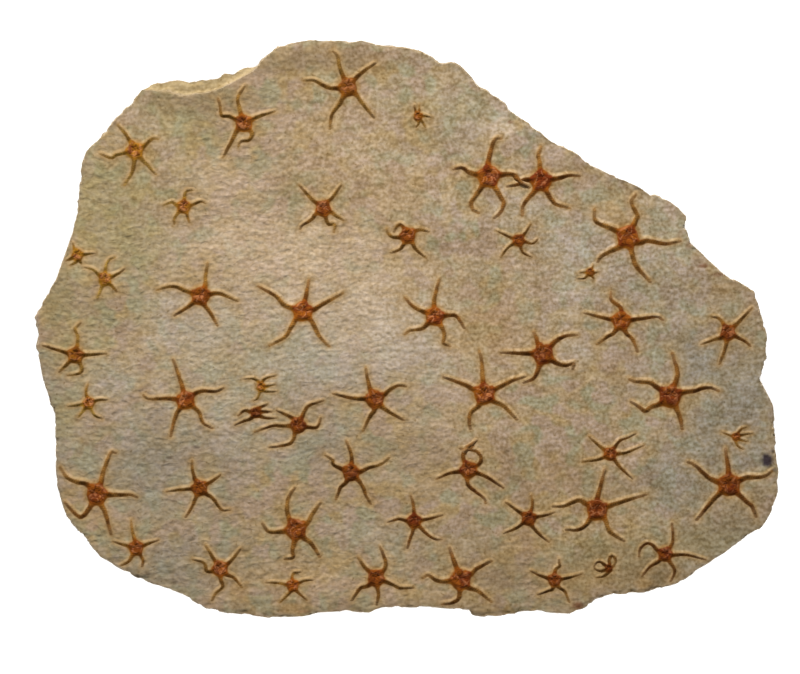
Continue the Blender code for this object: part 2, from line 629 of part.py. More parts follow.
def loft_starfish(shape, centre, radius, arms):
    """Adds one fossil: a low disc of as many petals as it has arms, and the arms round it."""
    routes = sorted(
        (trimmed_route(centre, radius, arm) for arm in arms),
        key=lambda route: bearing(centre, route[0]),
    )
    bearings = [bearing(centre, route[0]) for route in routes]
    rim = radius * RIM_SHARE
    width = ARM_BASE_WIDTH + ARM_WIDTH_SHARE * radius
    disc_height = DISC_BASE_HEIGHT + DISC_HEIGHT_SHARE * radius
    arm_height = disc_height * ARM_HEIGHT_SHARE
    mouth = shape.verts.new(on_face(*centre, disc_height * MOUTH_SHARE))
    roots = []
    petals = []
    starts = []
    for index, angle in enumerate(bearings):
        half_angle = root_half_angle(index, bearings, width / rim)
        corners = []
        for turn in (-half_angle, half_angle):
            place = Vector((math.cos(angle + turn), math.sin(angle + turn))) * rim
            corners.append(shape.verts.new(on_face(centre[0] + place.x, centre[1] + place.y, 0.0)))
        outward = Vector((math.cos(angle), math.sin(angle)))
        start = (centre[0] + outward.x * rim, centre[1] + outward.y * rim)
        ridge = shape.verts.new(on_face(*start, arm_height))
        petal = Vector(centre) + outward * rim * PETAL_SHARE
        petals.append(shape.verts.new(on_face(petal.x, petal.y, disc_height)))
        roots.append((corners[0], corners[1], ridge))
        starts.append(start)
    count = len(routes)
    for index in range(count):
        right, left, ridge = roots[index]
        next_right = roots[(index + 1) % count][0]
        petal = petals[index]
        next_petal = petals[(index + 1) % count]
        shape.faces.new((mouth, petal, next_petal))
        shape.faces.new((petal, ridge, left))
        shape.faces.new((petal, right, ridge))
        shape.faces.new((petal, left, next_right, next_petal))
        loft_arm(shape, roots[index], starts[index], routes[index], width, arm_height)
    shape.faces.new([corner for root in roots for corner in root[:2]])


def build_starfish(number, centre, radius, arms, group, material):
    """One fossil brittle star as its own solid, lying on the slab's face."""
    shape = bmesh.new()
    loft_starfish(shape, centre, radius, arms)
    bmesh.ops.recalc_face_normals(shape, faces=shape.faces)
    bmesh.ops.triangulate(shape, faces=shape.faces)
    name = f"starfish_{number:02d}"
    mesh = bpy.data.meshes.new(name)
    shape.to_mesh(mesh)
    shape.free()
    mesh.materials.append(material)
    group.objects.link(bpy.data.objects.new(name, mesh))


def main():
    remove_old_objects()
    group = new_collection("starfish_fossil_slab")
    cutters = new_collection("cutters")
    build_slab(group, cutters, plain_material("stone", STONE_COLOUR, 0.9))
    for number, (centre, radius, arms) in enumerate(STARFISH, start=1):
        material = plain_material(f"fossil_{number:02d}", FOSSIL_COLOUR, 0.8)
        build_starfish(number, centre, radius, arms, group, material)


main()
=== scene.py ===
import math

import bmesh
import bpy
import numpy as np
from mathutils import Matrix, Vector, noise
from mathutils.bvhtree import BVHTree
from mathutils.kdtree import KDTree


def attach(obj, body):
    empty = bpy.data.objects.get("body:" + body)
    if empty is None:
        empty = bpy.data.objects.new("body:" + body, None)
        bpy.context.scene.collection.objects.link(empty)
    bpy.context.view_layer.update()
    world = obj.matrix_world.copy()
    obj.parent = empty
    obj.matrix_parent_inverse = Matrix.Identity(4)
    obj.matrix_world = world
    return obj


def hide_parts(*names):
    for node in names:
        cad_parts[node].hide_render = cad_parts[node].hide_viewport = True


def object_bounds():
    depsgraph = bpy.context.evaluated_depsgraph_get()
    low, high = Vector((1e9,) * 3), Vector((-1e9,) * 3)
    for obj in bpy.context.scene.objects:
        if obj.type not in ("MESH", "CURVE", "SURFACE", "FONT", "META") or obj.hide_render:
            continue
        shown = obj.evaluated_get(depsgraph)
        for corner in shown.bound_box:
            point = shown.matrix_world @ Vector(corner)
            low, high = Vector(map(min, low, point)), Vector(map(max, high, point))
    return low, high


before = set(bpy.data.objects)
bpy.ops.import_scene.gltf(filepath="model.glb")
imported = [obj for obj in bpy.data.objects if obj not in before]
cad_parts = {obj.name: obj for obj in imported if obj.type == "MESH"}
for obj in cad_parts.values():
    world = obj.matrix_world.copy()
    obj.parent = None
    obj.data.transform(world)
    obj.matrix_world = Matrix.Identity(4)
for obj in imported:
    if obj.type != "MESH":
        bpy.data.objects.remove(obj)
cadLow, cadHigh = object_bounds()
mm = 0.001

# Each fossil: centre, disc radius, and its arms from root to tip, in millimetres on the slab's face.
# The fossils are numbered in this order, as their solids are.
starfish = (
    ((-216.5, 143), 6.5, (
        ((-220, 149), (-223, 155), (-230, 163)),
        ((-210, 146), (-203, 152), (-198, 152)),
        ((-210, 135), (-206, 131), (-200, 124)),
        ((-217, 134), (-218.5, 126), (-222, 120), (-225, 115)),
        ((-221, 139), (-231, 139.5), (-235.5, 137), (-244, 140)),
    )),
    ((-129.5, 164.5), 6.5, (
        ((-131.5, 171), (-133.5, 179), (-134, 186), (-129, 194)),
        ((-124, 168), (-118, 170), (-105, 174)),
        ((-124, 159), (-123, 155), (-126, 151), (-132, 150), (-134, 146)),
        ((-135, 159), (-139.5, 150), (-146.5, 137)),
        ((-135.5, 168), (-140.5, 170), (-147, 171), (-148.5, 179), (-150, 184)),
    )),
    ((-46.5, 193.5), 7, (
        ((-49.5, 200), (-52.5, 208), (-54.5, 218), (-58, 222)),
        ((-40, 201), (-33, 207), (-24.5, 212.5)),
        ((-40, 188), (-35, 181), (-25.5, 169)),
        ((-50, 186), (-53, 180), (-59, 172), (-61, 160)),
        ((-53, 193), (-61, 193), (-73, 198.5), (-81.5, 198.5)),
    )),
    ((9.5, 170), 3.5, (
        ((7.5, 175), (7, 179)),
        ((10.5, 175), (10.5, 179)),
        ((14, 170.5), (19.5, 169)),
        ((10, 165), (8, 161)),
        ((13.5, 165), (15.5, 161)),
    )),
    ((66, 122.5), 8.5, (
        ((65.5, 132), (66.5, 138), (70.5, 151), (76, 152.5)),
        ((57.5, 123), (52, 125), (45, 129), (38, 128)),
        ((74, 123.5), (84, 124), (89, 119, 1.7), (93, 115.5, 1.7), (99, 113)),
        ((60, 113.5), (55, 106), (52, 101), (53.5, 96), (58, 93)),
        ((71, 113.5), (75, 107), (78, 101), (75.5, 94), (70.5, 89)),
    )),
    ((108, 119), 8, (
        ((107, 127), (106.5, 134), (105.5, 139), (108, 146)),
        ((115, 119.5), (122, 121), (130, 123), (138.5, 122.5)),
        ((100, 121), (95, 119.5), (89.5, 116), (81, 114)),
        ((103, 111), (94, 100), (93, 91)),
        ((112, 111), (115.5, 105), (120, 100), (130.5, 97)),
    )),
    ((-262.5, 59.5), 4.5, (
        ((-262.5, 63), (-265, 65.5), (-266, 69)),
        ((-258, 59.5), (-249, 60.5)),
        ((-266, 58), (-271.5, 54.5)),
        ((-263.5, 54), (-268.5, 51)),
        ((-260.5, 55), (-259, 52)),
    )),
    ((-240.5, 40), 5, (
        ((-240, 44.5), (-239.5, 51), (-237, 55.5), (-232.5, 57.5)),
        ((-236, 42), (-231, 44), (-225, 48)),
        ((-237, 36), (-234, 34), (-231, 30)),
        ((-242.5, 35.5), (-246.5, 25)),
        ((-245, 43.5), (-249.5, 47.5), (-256.5, 49.5)),
    )),
    ((-177.5, 98), 5, (
        ((-177.5, 103), (-176, 109.5), (-170, 111)),
        ((-171, 99.5), (-164, 102), (-160, 100.5)),
        ((-175, 93), (-173, 85)),
        ((-181, 94), (-184.5, 90), (-185, 84)),
        ((-183, 99.5), (-187, 101.5), (-193.5, 99)),
    )),
    ((-164, 27), 7, (
        ((-160.5, 35), (-160, 43), (-158.5, 53)),
        ((-156, 28.5), (-148, 28.5), (-134.5, 22.5)),
        ((-161, 20), (-156, 13), (-150.5, 3)),
        ((-167, 21), (-173, 19), (-185, 11)),
        ((-171, 29), (-176, 31), (-183, 34), (-190, 34), (-199, 31.5)),
    )),
    ((-66, 96.5), 6, (
        ((-71, 101), (-75, 104), (-85, 115)),
        ((-62.5, 102), (-58.5, 106), (-52, 115)),
        ((-71.5, 93), (-76, 87.5), (-83, 83), (-84.5, 80)),
        ((-60, 94), (-55.5, 90.5), (-50, 87)),
        ((-65, 90.5), (-62, 84.5), (-57, 84), (-57.5, 77.5)),
    )),
    ((-82.5, 14.5), 7.5, (
        ((-81.5, 22), (-79.5, 29), (-77.5, 39.5)),
        ((-74, 16), (-68, 19.5), (-50.5, 29)),
        ((-76.5, 8.5), (-73, 2.5), (-69, -5.5), (-61.5, -13.5)),
        ((-88, 8.5), (-92, 1.5), (-97, -6), (-109, -13)),
        ((-89, 16.5), (-97, 19.5), (-103, 26), (-118, 34.5)),
    )),
    ((1.5, 75), 6, (
        ((-0.5, 81), (-3, 83), (-7, 82.5), (-9.5, 78)),
        ((-4, 73.5), (-9, 73.5), (-14, 76.5), (-15.5, 80.5)),
        ((5, 78), (9, 79.5), (18, 78)),
        ((0, 69.5), (-4, 65), (-11.5, 61)),
        ((5, 69.5), (8.5, 63.5), (16, 57)),
    )),
    ((90, 71), 4.5, (
        ((86, 73), (79, 75.5), (72.5, 78.5)),
        ((91, 75), (95, 77), (99.5, 84)),
        ((95, 70), (101, 68.5), (105, 72)),
        ((91.5, 66.5), (93.5, 61.5), (100.5, 57.5)),
        ((86, 69.5), (81.5, 65.5), (75.5, 57.5)),
    )),
    ((23, 10.5), 7, (
        ((22.5, 18.5), (23, 26), (26.5, 40)),
        ((15, 14), (9, 16.5), (4, 20), (-1, 25.5)),
        ((28.5, 11), (35, 11.5), (41, 10), (46.5, 1)),
        ((16, 3.5), (12, 0.5), (3, -1), (-1, -4)),
        ((27, 4.5), (29.5, 0), (30.5, -5.5), (30, -11), (35, -13.5)),
    )),
    ((147, 45.5), 3, (
        ((147.5, 48.5), (149.5, 51.5)),
        ((150, 46.5), (153, 45)),
        ((142, 45.5), (138, 44.5)),
        ((144.5, 43), (142, 40.5), (137, 40)),
        ((148.5, 42.5), (150, 40)),
    )),
    ((177, 74), 8.5, (
        ((180, 82), (183.5, 87.5), (184.5, 91.5), (180, 102), (183.5, 108)),
        ((186, 69.5), (193, 71), (207, 68.5), (219, 70.5)),
        ((180, 63.5), (181.5, 56.5), (184, 50.5), (195, 38)),
        ((171, 66.5), (166, 64), (156, 58.5), (153, 54)),
        ((169, 78.5), (162, 81.5), (151.5, 86.5), (150.5, 96)),
    )),
    ((172, 7), 7, (
        ((172, 15.5), (170, 19), (164, 23.5), (163.5, 30)),
        ((178, 8.5), (186, 8.5), (200, 10), (205, 7.5)),
        ((176, -3), (181, -7.5), (185, -18)),
        ((166, -2.5), (161, -5.5), (152.5, -12)),
        ((166, 7.5), (160, 9), (142.5, 13)),
    )),
    ((257, -2.5), 6, (
        ((254, 3.5), (250.5, 8.5), (244.5, 10)),
        ((262, 1.5), (266, 6.5), (276, 17)),
        ((262, -5.5), (270, -9), (275, -13.5)),
        ((256, -10), (254.5, -16.5), (250, -28)),
        ((251.5, -6.5), (246, -8), (236, -12)),
    )),
    ((-264, -20.5), 6, (
        ((-262.5, -14.5), (-262, -6.5), (-264, 0.5), (-260, 5)),
        ((-270, -20.5), (-276, -17), (-290, -13)),
        ((-258.5, -19.5), (-250, -20), (-239.5, -19.5)),
        ((-267, -25), (-271, -28), (-277, -34)),
        ((-260, -25), (-259, -30.5), (-261, -35), (-269.5, -37)),
    )),
    ((-253.5, -59), 4.5, (
        ((-254, -55), (-255.5, -49.5), (-254, -43.5)),
        ((-250, -58.5), (-246, -56.5), (-238.5, -56.5)),
        ((-250.5, -62.5), (-248.5, -68.5), (-243, -71.5)),
        ((-255, -63.5), (-262, -70.5)),
        ((-257, -59), (-262, -60.5), (-269.5, -61.5)),
    )),
    ((-176, -56.5), 7, (
        ((-178, -50.5), (-179.5, -42.5), (-186, -24)),
        ((-170, -52.5), (-165, -49.5), (-152, -49.5), (-146, -47)),
        ((-170, -61.5), (-165, -66.5), (-162, -74.5), (-155, -79)),
        ((-181, -63.5), (-184.5, -70.5), (-188, -85.5)),
        ((-182, -55.5), (-190, -55), (-205, -55.5), (-209.5, -52.5)),
    )),
    ((-116, -46), 3.5, (
        ((-118, -41.5), (-123, -39.5), (-130, -40)),
        ((-114.5, -41), (-110, -38.5), (-104, -37.5)),
        ((-113, -44.5), (-104.5, -44.5)),
        ((-113, -49.5), (-103.5, -50)),
        ((-117, -50.5), (-119, -55.5), (-122, -57.5)),
    )),
    ((-120, -66.5), 4, (
        ((-124, -64.5), (-129, -65), (-134, -69)),
        ((-124, -71), (-130, -73.5), (-136.5, -76.5)),
        ((-117, -62.5), (-111, -60)),
        ((-115, -65.5), (-107.5, -66)),
        ((-116, -69.5), (-110, -71), (-104, -71)),
    )),
    ((-86, -76.5), 6, (
        ((-83, -69.5), (-80, -63.5), (-77, -60.5), (-66, -57)),
        ((-91, -70.5), (-97, -67.5), (-103, -65)),
        ((-92, -77), (-100, -77), (-107, -77), (-120.5, -82)),
        ((-88.5, -82.5), (-90.5, -88.5), (-95, -92), (-109, -94.5)),
        ((-80, -78), (-74, -78.5), (-70.5, -77), (-68, -70.5)),
    )),
    ((-25, -55.5), 7, (
        ((-28, -48.5), (-30.5, -40.5), (-32, -30.5)),
        ((-18, -52.5), (-13, -48), (-7, -45), (0, -45.5)),
        ((-18.5, -62), (-13, -66), (-2, -72.5)),
        ((-25.5, -64.5), (-29, -69.5), (-34.5, -81)),
        ((-31, -55), (-40, -55), (-47, -54), (-58, -51.5)),
    )),
    ((-44, -114), 6.5, (
        ((-43.5, -107.5), (-43.5, -100.5), (-47.5, -89)),
        ((-37, -113.5), (-30, -110.5), (-20, -107.5), (-13.5, -102.5)),
        ((-37, -121.5), (-34, -126.5), (-32, -132.5), (-28, -139.5)),
        ((-48, -122), (-52.5, -126.5), (-56, -136)),
        ((-49.5, -111.5), (-57, -108.5), (-59, -104), (-64.5, -100.5)),
    )),
    ((62.5, -51.5), 8, (
        ((61, -43.5), (61, -35.5), (60.5, -26.5), (58.5, -17)),
        ((71, -47.5), (79, -43.5), (87, -40), (95, -38)),
        ((71, -57.5), (78, -61), (83, -66), (88.5, -72)),
        ((58, -60.5), (52, -66), (50.5, -71.5), (51.5, -79.5)),
        ((53.5, -47.5), (47, -44), (30, -38)),
    )),
    ((109.5, -19.5), 8, (
        ((105.5, -11.5), (103.5, -5.5), (102, -2)),
        ((115.5, -13), (121, -8), (128, -5), (136.5, -4.5)),
        ((116, -24), (121, -27), (128, -28.5), (134, -27), (133, -31.5)),
        ((106.5, -28.5), (104.5, -34.5), (101, -39.5), (94, -42.5)),
        ((102.5, -18.5), (94, -19), (76, -18.5)),
    )),
    ((49.8, -112), 6.5, (
        ((46.5, -106.5), (45.5, -101.5), (48, -96.5, 1.8), (52, -93, 1.8), (56.5, -88.5)),
        ((58, -107.5), (60, -102.5), (56.5, -97.5), (50, -96), (43, -95)),
        ((57, -114.5), (65, -118), (77.5, -126.5)),
        ((49, -121.5), (52, -126.5), (62, -134.5), (63.5, -139)),
        ((42, -113.5), (34, -115), (24.5, -119.5)),
    )),
    ((211, -53.5), 8.5, (
        ((213.5, -46.5), (216, -39.5), (216.5, -32.5), (212.5, -19)),
        ((221, -50), (230, -49), (236, -47), (243, -46.5), (249.5, -49)),
        ((215, -61.5), (218, -67.5), (220.5, -79.5)),
        ((202, -59.5), (196, -61.5), (191, -65), (186, -61.5), (180, -58)),
        ((201, -46.5), (195, -42.5), (183, -41.5), (178, -39.5)),
    )),
    ((163, -99.5), 5, (
        ((159, -96.5), (154, -92.5), (146, -85.5)),
        ((165.5, -95), (170, -89.5), (177, -86.5), (183.5, -83.5)),
        ((168, -99), (175, -98.5), (189.5, -93)),
        ((167, -104.5), (171.5, -110.5), (181, -119.5)),
        ((159, -102.5), (153, -104), (140.5, -106)),
    )),
    ((263.5, -86), 3, (
        ((261, -85), (252.5, -82.5)),
        ((265, -83), (267, -80), (272, -78.5)),
        ((267, -84.5), (276, -83.5)),
        ((266.5, -88), (272.5, -90)),
        ((263.5, -89.5), (265.5, -93.5), (269, -96)),
    )),
    ((258, -124), 8.5, (
        ((256.5, -115.5), (257, -108.5), (255, -95.5)),
        ((264, -120), (271, -118.5), (285, -117.5), (292, -113)),
        ((264, -130.5), (271, -136.5), (276.5, -141.5), (279.5, -149.5)),
        ((249.5, -131.5), (243, -138.5), (232, -152)),
        ((250, -120.5), (243, -119), (231, -108.5), (225, -106)),
    )),
    ((-247, -131.5), 8, (
        ((-243, -119.5), (-241, -111.5), (-236, -99), (-232, -98.5)),
        ((-255, -123.5), (-262, -122), (-270, -118.5), (-276, -110.5)),
        ((-239, -133), (-229, -132), (-220, -132), (-215, -134)),
        ((-243, -140.5), (-240, -146.5), (-235.5, -163.5)),
        ((-251.5, -140.5), (-258, -149), (-263, -148), (-272.5, -138)),
    )),
    ((-215.5, -174.5), 5.5, (
        ((-216.5, -168.5), (-218.5, -160.5), (-219.5, -152.5)),
        ((-211, -173), (-206, -171), (-198, -168.5)),
        ((-212, -180), (-210, -184.5), (-211, -189.5)),
        ((-218.5, -180.5), (-222, -185.5), (-228, -189)),
        ((-221, -172.5), (-227, -171.5), (-233.5, -169.5)),
    )),
    ((-165, -126.5), 6, (
        ((-168.5, -119.5), (-170.5, -111.5), (-171, -104.5)),
        ((-160, -123.5), (-155, -121), (-148.5, -116.5)),
        ((-159, -131.5), (-154, -135), (-147, -144), (-141, -144.5)),
        ((-166.5, -132.5), (-170, -139.5), (-176, -150)),
        ((-171, -128), (-180, -128), (-191, -129.5)),
    )),
    ((-88, -159.5), 8, (
        ((-93, -151.5), (-95, -143.5), (-94, -134.5), (-89, -126.5)),
        ((-79, -154.5), (-75, -147.5), (-68.5, -138.5)),
        ((-81, -166.5), (-75, -171.5), (-69, -181.5)),
        ((-89, -168.5), (-90.5, -175.5), (-90.5, -182), (-96.5, -183.5)),
        ((-96, -161), (-102, -161.5), (-110, -161), (-114.5, -155)),
    )),
    ((-148.5, -191), 6, (
        ((-152, -185.5), (-155.5, -179.5), (-160, -172.5)),
        ((-143, -187.5), (-138, -182.5), (-132, -175)),
        ((-143, -195.5), (-137, -198.5), (-131, -206)),
        ((-148, -198.5), (-146.5, -205.5), (-152, -210.5), (-155, -216.5)),
        ((-153, -194.5), (-158.5, -193), (-161, -186.5), (-170, -184)),
    )),
    ((-90.5, -204.5), 4.5, (
        ((-90.5, -200.5), (-90.5, -195.5), (-84, -194)),
        ((-86, -203.5), (-82, -201), (-74.5, -200.5)),
        ((-87, -209), (-79, -216.5)),
        ((-92.5, -209.5), (-101, -218.5)),
        ((-96, -203.5), (-103, -202.5), (-112, -202.5)),
    )),
    ((-24, -198.5), 6.5, (
        ((-29, -193.5), (-33, -189.5), (-38, -182.5)),
        ((-19, -193.5), (-16.5, -189.5), (-16.5, -184.5), (-20.5, -173.5)),
        ((-18, -201.5), (-11, -203.5), (-5, -206.5), (5.5, -206.5)),
        ((-23, -205.5), (-22, -211.5), (-23.5, -220)),
        ((-30.5, -204.5), (-37, -207), (-43.5, -216.5)),
    )),
    ((6.5, -153), 5.5, (
        ((6.5, -148), (6, -140.5), (4, -133)),
        ((12, -153), (19, -151), (29, -148.5)),
        ((11.5, -158), (17, -163.5), (23, -167.5), (28.5, -168)),
        ((5.5, -160.5), (3, -167.5), (1, -175)),
        ((0, -152.5), (-6, -151.5), (-14.5, -154)),
    )),
    ((43.5, -199.5), 8, (
        ((40.5, -190.5), (37.5, -182.5), (35, -174.5)),
        ((52, -195), (57, -190.5), (68, -185)),
        ((50, -206), (58, -209), (68, -217.5)),
        ((43, -208.5), (41.5, -215), (36, -218.5), (29, -219.5)),
        ((36, -200.5), (27, -201), (18, -196.5), (13.5, -198.5)),
    )),
    ((98, -151), 5.5, (
        ((100, -145.5), (101, -139.5), (100, -132.5)),
        ((104, -149.5), (111, -148.5), (118, -146.5)),
        ((101, -157), (106.5, -163.5), (114, -170)),
        ((94, -155), (88, -158.5), (78, -163)),
        ((92.5, -147), (86, -142.5), (79.5, -138)),
    )),
    ((118.5, -200), 5, (
        ((117, -195.5), (119.5, -191.5), (122.5, -189), (122, -183.5)),
        ((123, -199.5), (131, -198), (140, -195.5)),
        ((122, -205.5), (127, -209.5), (130.5, -218)),
        ((117, -207), (113, -209), (105.5, -212)),
        ((114, -200), (107, -196.5), (99.5, -193)),
    )),
    ((152.5, -144), 8, (
        ((153, -134.5), (155, -126.5), (157, -118.5), (159, -111.5)),
        ((160, -141), (169, -138.5), (186, -133.5), (191.5, -132)),
        ((159, -151.5), (161, -157.5), (164, -162.5), (174, -169)),
        ((147, -151.5), (143, -156.5), (137, -160), (128, -160)),
        ((143, -138.5), (137, -136.5), (126, -141), (117.5, -141.5)),
    )),
    ((162, -191), 3, (
        ((162.6, -187.5), (162.2, -183.5), (164.3, -181), (167, -182.5), (167, -186.5), (165.3, -189.5)),
        ((160, -188.5), (156, -186), (152, -186.5), (150.3, -189)),
        ((159, -192), (155.5, -193), (152, -192), (150.6, -190.5)),
        ((161, -194.5), (157, -197.5), (152, -198.5)),
    )),
    ((207, -179.5), 5.5, (
        ((211, -173.5), (213, -167.5), (212.5, -154.5)),
        ((213, -180), (224, -180), (239, -184)),
        ((211, -186), (214.5, -192.5), (211.5, -201)),
        ((201, -185.5), (194, -190), (188.5, -197)),
        ((201, -176.5), (197, -172), (192, -171), (187, -175), (186, -181.5)),
    )),
)


def ease(low, high, value):
    # smooth step between two levels, for numbers and arrays alike
    share = np.clip((value - low) / (high - low), 0.0, 1.0)
    return share * share * (3.0 - 2.0 * share)


def hump(value):
    # one at 0, level there, and zero from 1 on
    return np.cos(np.clip(np.abs(value), 0.0, 1.0) * math.pi / 2) ** 2


def noiseAt(points, size, seed):
    # noise in -1..1 at each point; size gives the grain along x, y and z in millimetres
    scaled = points / np.asarray(size)
    return np.array([noise.noise(Vector((x, y, z + seed))) for x, y, z in scaled])


def readPoints(mesh):
    # a mesh's points in millimetres
    flat = np.empty(len(mesh.vertices) * 3)
    mesh.vertices.foreach_get("co", flat)
    return flat.reshape(-1, 3) / mm


def writePoints(mesh, points):
    mesh.vertices.foreach_set("co", (points * mm).astype(np.float32).ravel())
    mesh.update()


def setAttribute(mesh, name, values):
    layer = mesh.attributes.new(name, "FLOAT", "POINT")
    layer.data.foreach_set("value", np.asarray(values, dtype=np.float32))


# how the arms' routes are drawn, in millimetres
routing = {
    "step": 0.8,
    "rimClear": 0.5,  # the points of an arm start this far outside its disc's rim
    "liftShare": 0.6,  # arms that cross are lower than their solids, so they cross with less of a step
    "shift": (0.0, 0.5, 0.0),  # the crest of each arm lies this far up the face from the points listed for it
}


def smoothRoute(points):
    # a Catmull-Rom curve through the points, with a row of x, y and lift at every step
    whole = []
    for point in points:
        lift = routing["liftShare"] * point[2] if len(point) > 2 else 0.0
        whole.append(np.array((point[0], point[1], lift)))
    ends = [2 * whole[0] - whole[1]] + whole + [2 * whole[-1] - whole[-2]]
    rows = []
    for before, start, end, after in zip(ends, ends[1:], ends[2:], ends[3:]):
        count = max(2, int(np.linalg.norm(end - start) / routing["step"]))
        for share in np.arange(count) / count:
            rows.append(0.5 * (
                2 * start
                + (end - before) * share
                + (2 * before - 5 * start + 4 * end - after) * share ** 2
                + (3 * start - before - 3 * end + after) * share ** 3
            ))
    rows.append(whole[-1])
    return np.array(rows)


def trimmedArm(centre, radius, arm):
    # drops the points that lie inside the disc's rim or too near to it
    start = 0
    while start < len(arm) - 1 and math.dist(centre, arm[start][:2]) < radius + routing["rimClear"]:
        start += 1
    return arm[start:]


routes = [
    [smoothRoute((centre,) + trimmedArm(centre, radius, arm)) + routing["shift"] for arm in arms]
    for centre, radius, arms in starfish
]


def nearestOnRoute(points, route):
    # distance from each point to a route, how far along it the nearest place is, and its lift there
    lifts = route[:, 2]
    route = route[:, :2]
    steps = np.diff(route, axis=0)
    lengths = np.linalg.norm(steps, axis=1)
    reached = np.concatenate(([0.0], np.cumsum(lengths)))
    best = np.full(len(points), 1e9)
    along = np.zeros(len(points))
    lift = np.zeros(len(points))
    for start, step, length, before, low, high in zip(route, steps, lengths, reached, lifts, lifts[1:]):
        share = np.clip(((points - start) @ step) / length ** 2, 0.0, 1.0)
        gap = np.linalg.norm(points - start - share[:, None] * step, axis=1)
        nearer = gap < best
        best[nearer] = gap[nearer]
        along[nearer] = before + share[nearer] * length
        lift[nearer] = low + share[nearer] * (high - low)
    return best, along, reached[-1], lift


# sizes of the fossils, in millimetres or as shares of a disc's radius
fossil = {
    "coarseCell": 1.6,
    "cuts": 3,
    "patchMargin": 5.0,  # a patch of cells reaches this far past the tips of its arms
    "cutMargin": 2.2,  # and its cells are kept this far outside the banks
    "discShare": 0.97,
    "discCorner": 0.09,  # the disc is a soft pentagon, this much wider at its arms
    "cornerWidth": 0.6,
    "discInner": 0.38,  # how far in from its rim the disc goes on rising
    "discRiseBase": 0.48, "discRiseShare": 0.13,
    "armBase": 0.43, "armShare": 0.2, "armTaper": 0.46,
    "bankBase": 0.95, "bankShare": 0.11, "bankTaper": 0.35,
    "armRiseBase": 0.43, "armRiseShare": 0.12, "armRiseTaper": 0.56,
    "tipDrop": 0.6,
    "fillet": 0.15,
    "ridgeRise": 0.3,
    "plateLength": 1.9,
    "plateRise": 0.09,
    "unevenness": 0.4, "unevenGrain": (6, 6, 1),  # how an arm's height changes along it
    "dish": 0.1, "lumps": 0.24,  # the hollow middle of a disc and the lumps on it
    "seamDepth": 0.3, "mouthDepth": 0.35, "rayDepth": 0.15,
    "shadeSideStainShift": 1.5,  # the brown core lies this far off the crest, towards -Y, away from the key light: the fossil's stain, moved onto the shaded flank as painted shade
    "stainEdge": -0.46, "stainSoftness": 1.1,  # where the core of an arm ends, and how softly
    "tipFade": 0.35,
    "sink": 0.45, "sunkShare": 0.8,  # the banks go this far below the stone's face, and are cut off there
    "skirt": 0.5,
    "liftedBank": 0.55,  # an arm that crosses another stands steeper, by this share
    "lowestGround": 26.0,  # nothing is laid on stone lower than this, as in the notches of the edge
    "thickArms": {24: 1.3, 33: 1.2, 47: 1.4},  # fossils whose arms are thicker than their discs suggest
}


def armHalf(radius, share):
    # half width of an arm's core, from its root at 0 to its tip at 1
    return (fossil["armBase"] + fossil["armShare"] * radius) * (1 - fossil["armTaper"] * share)
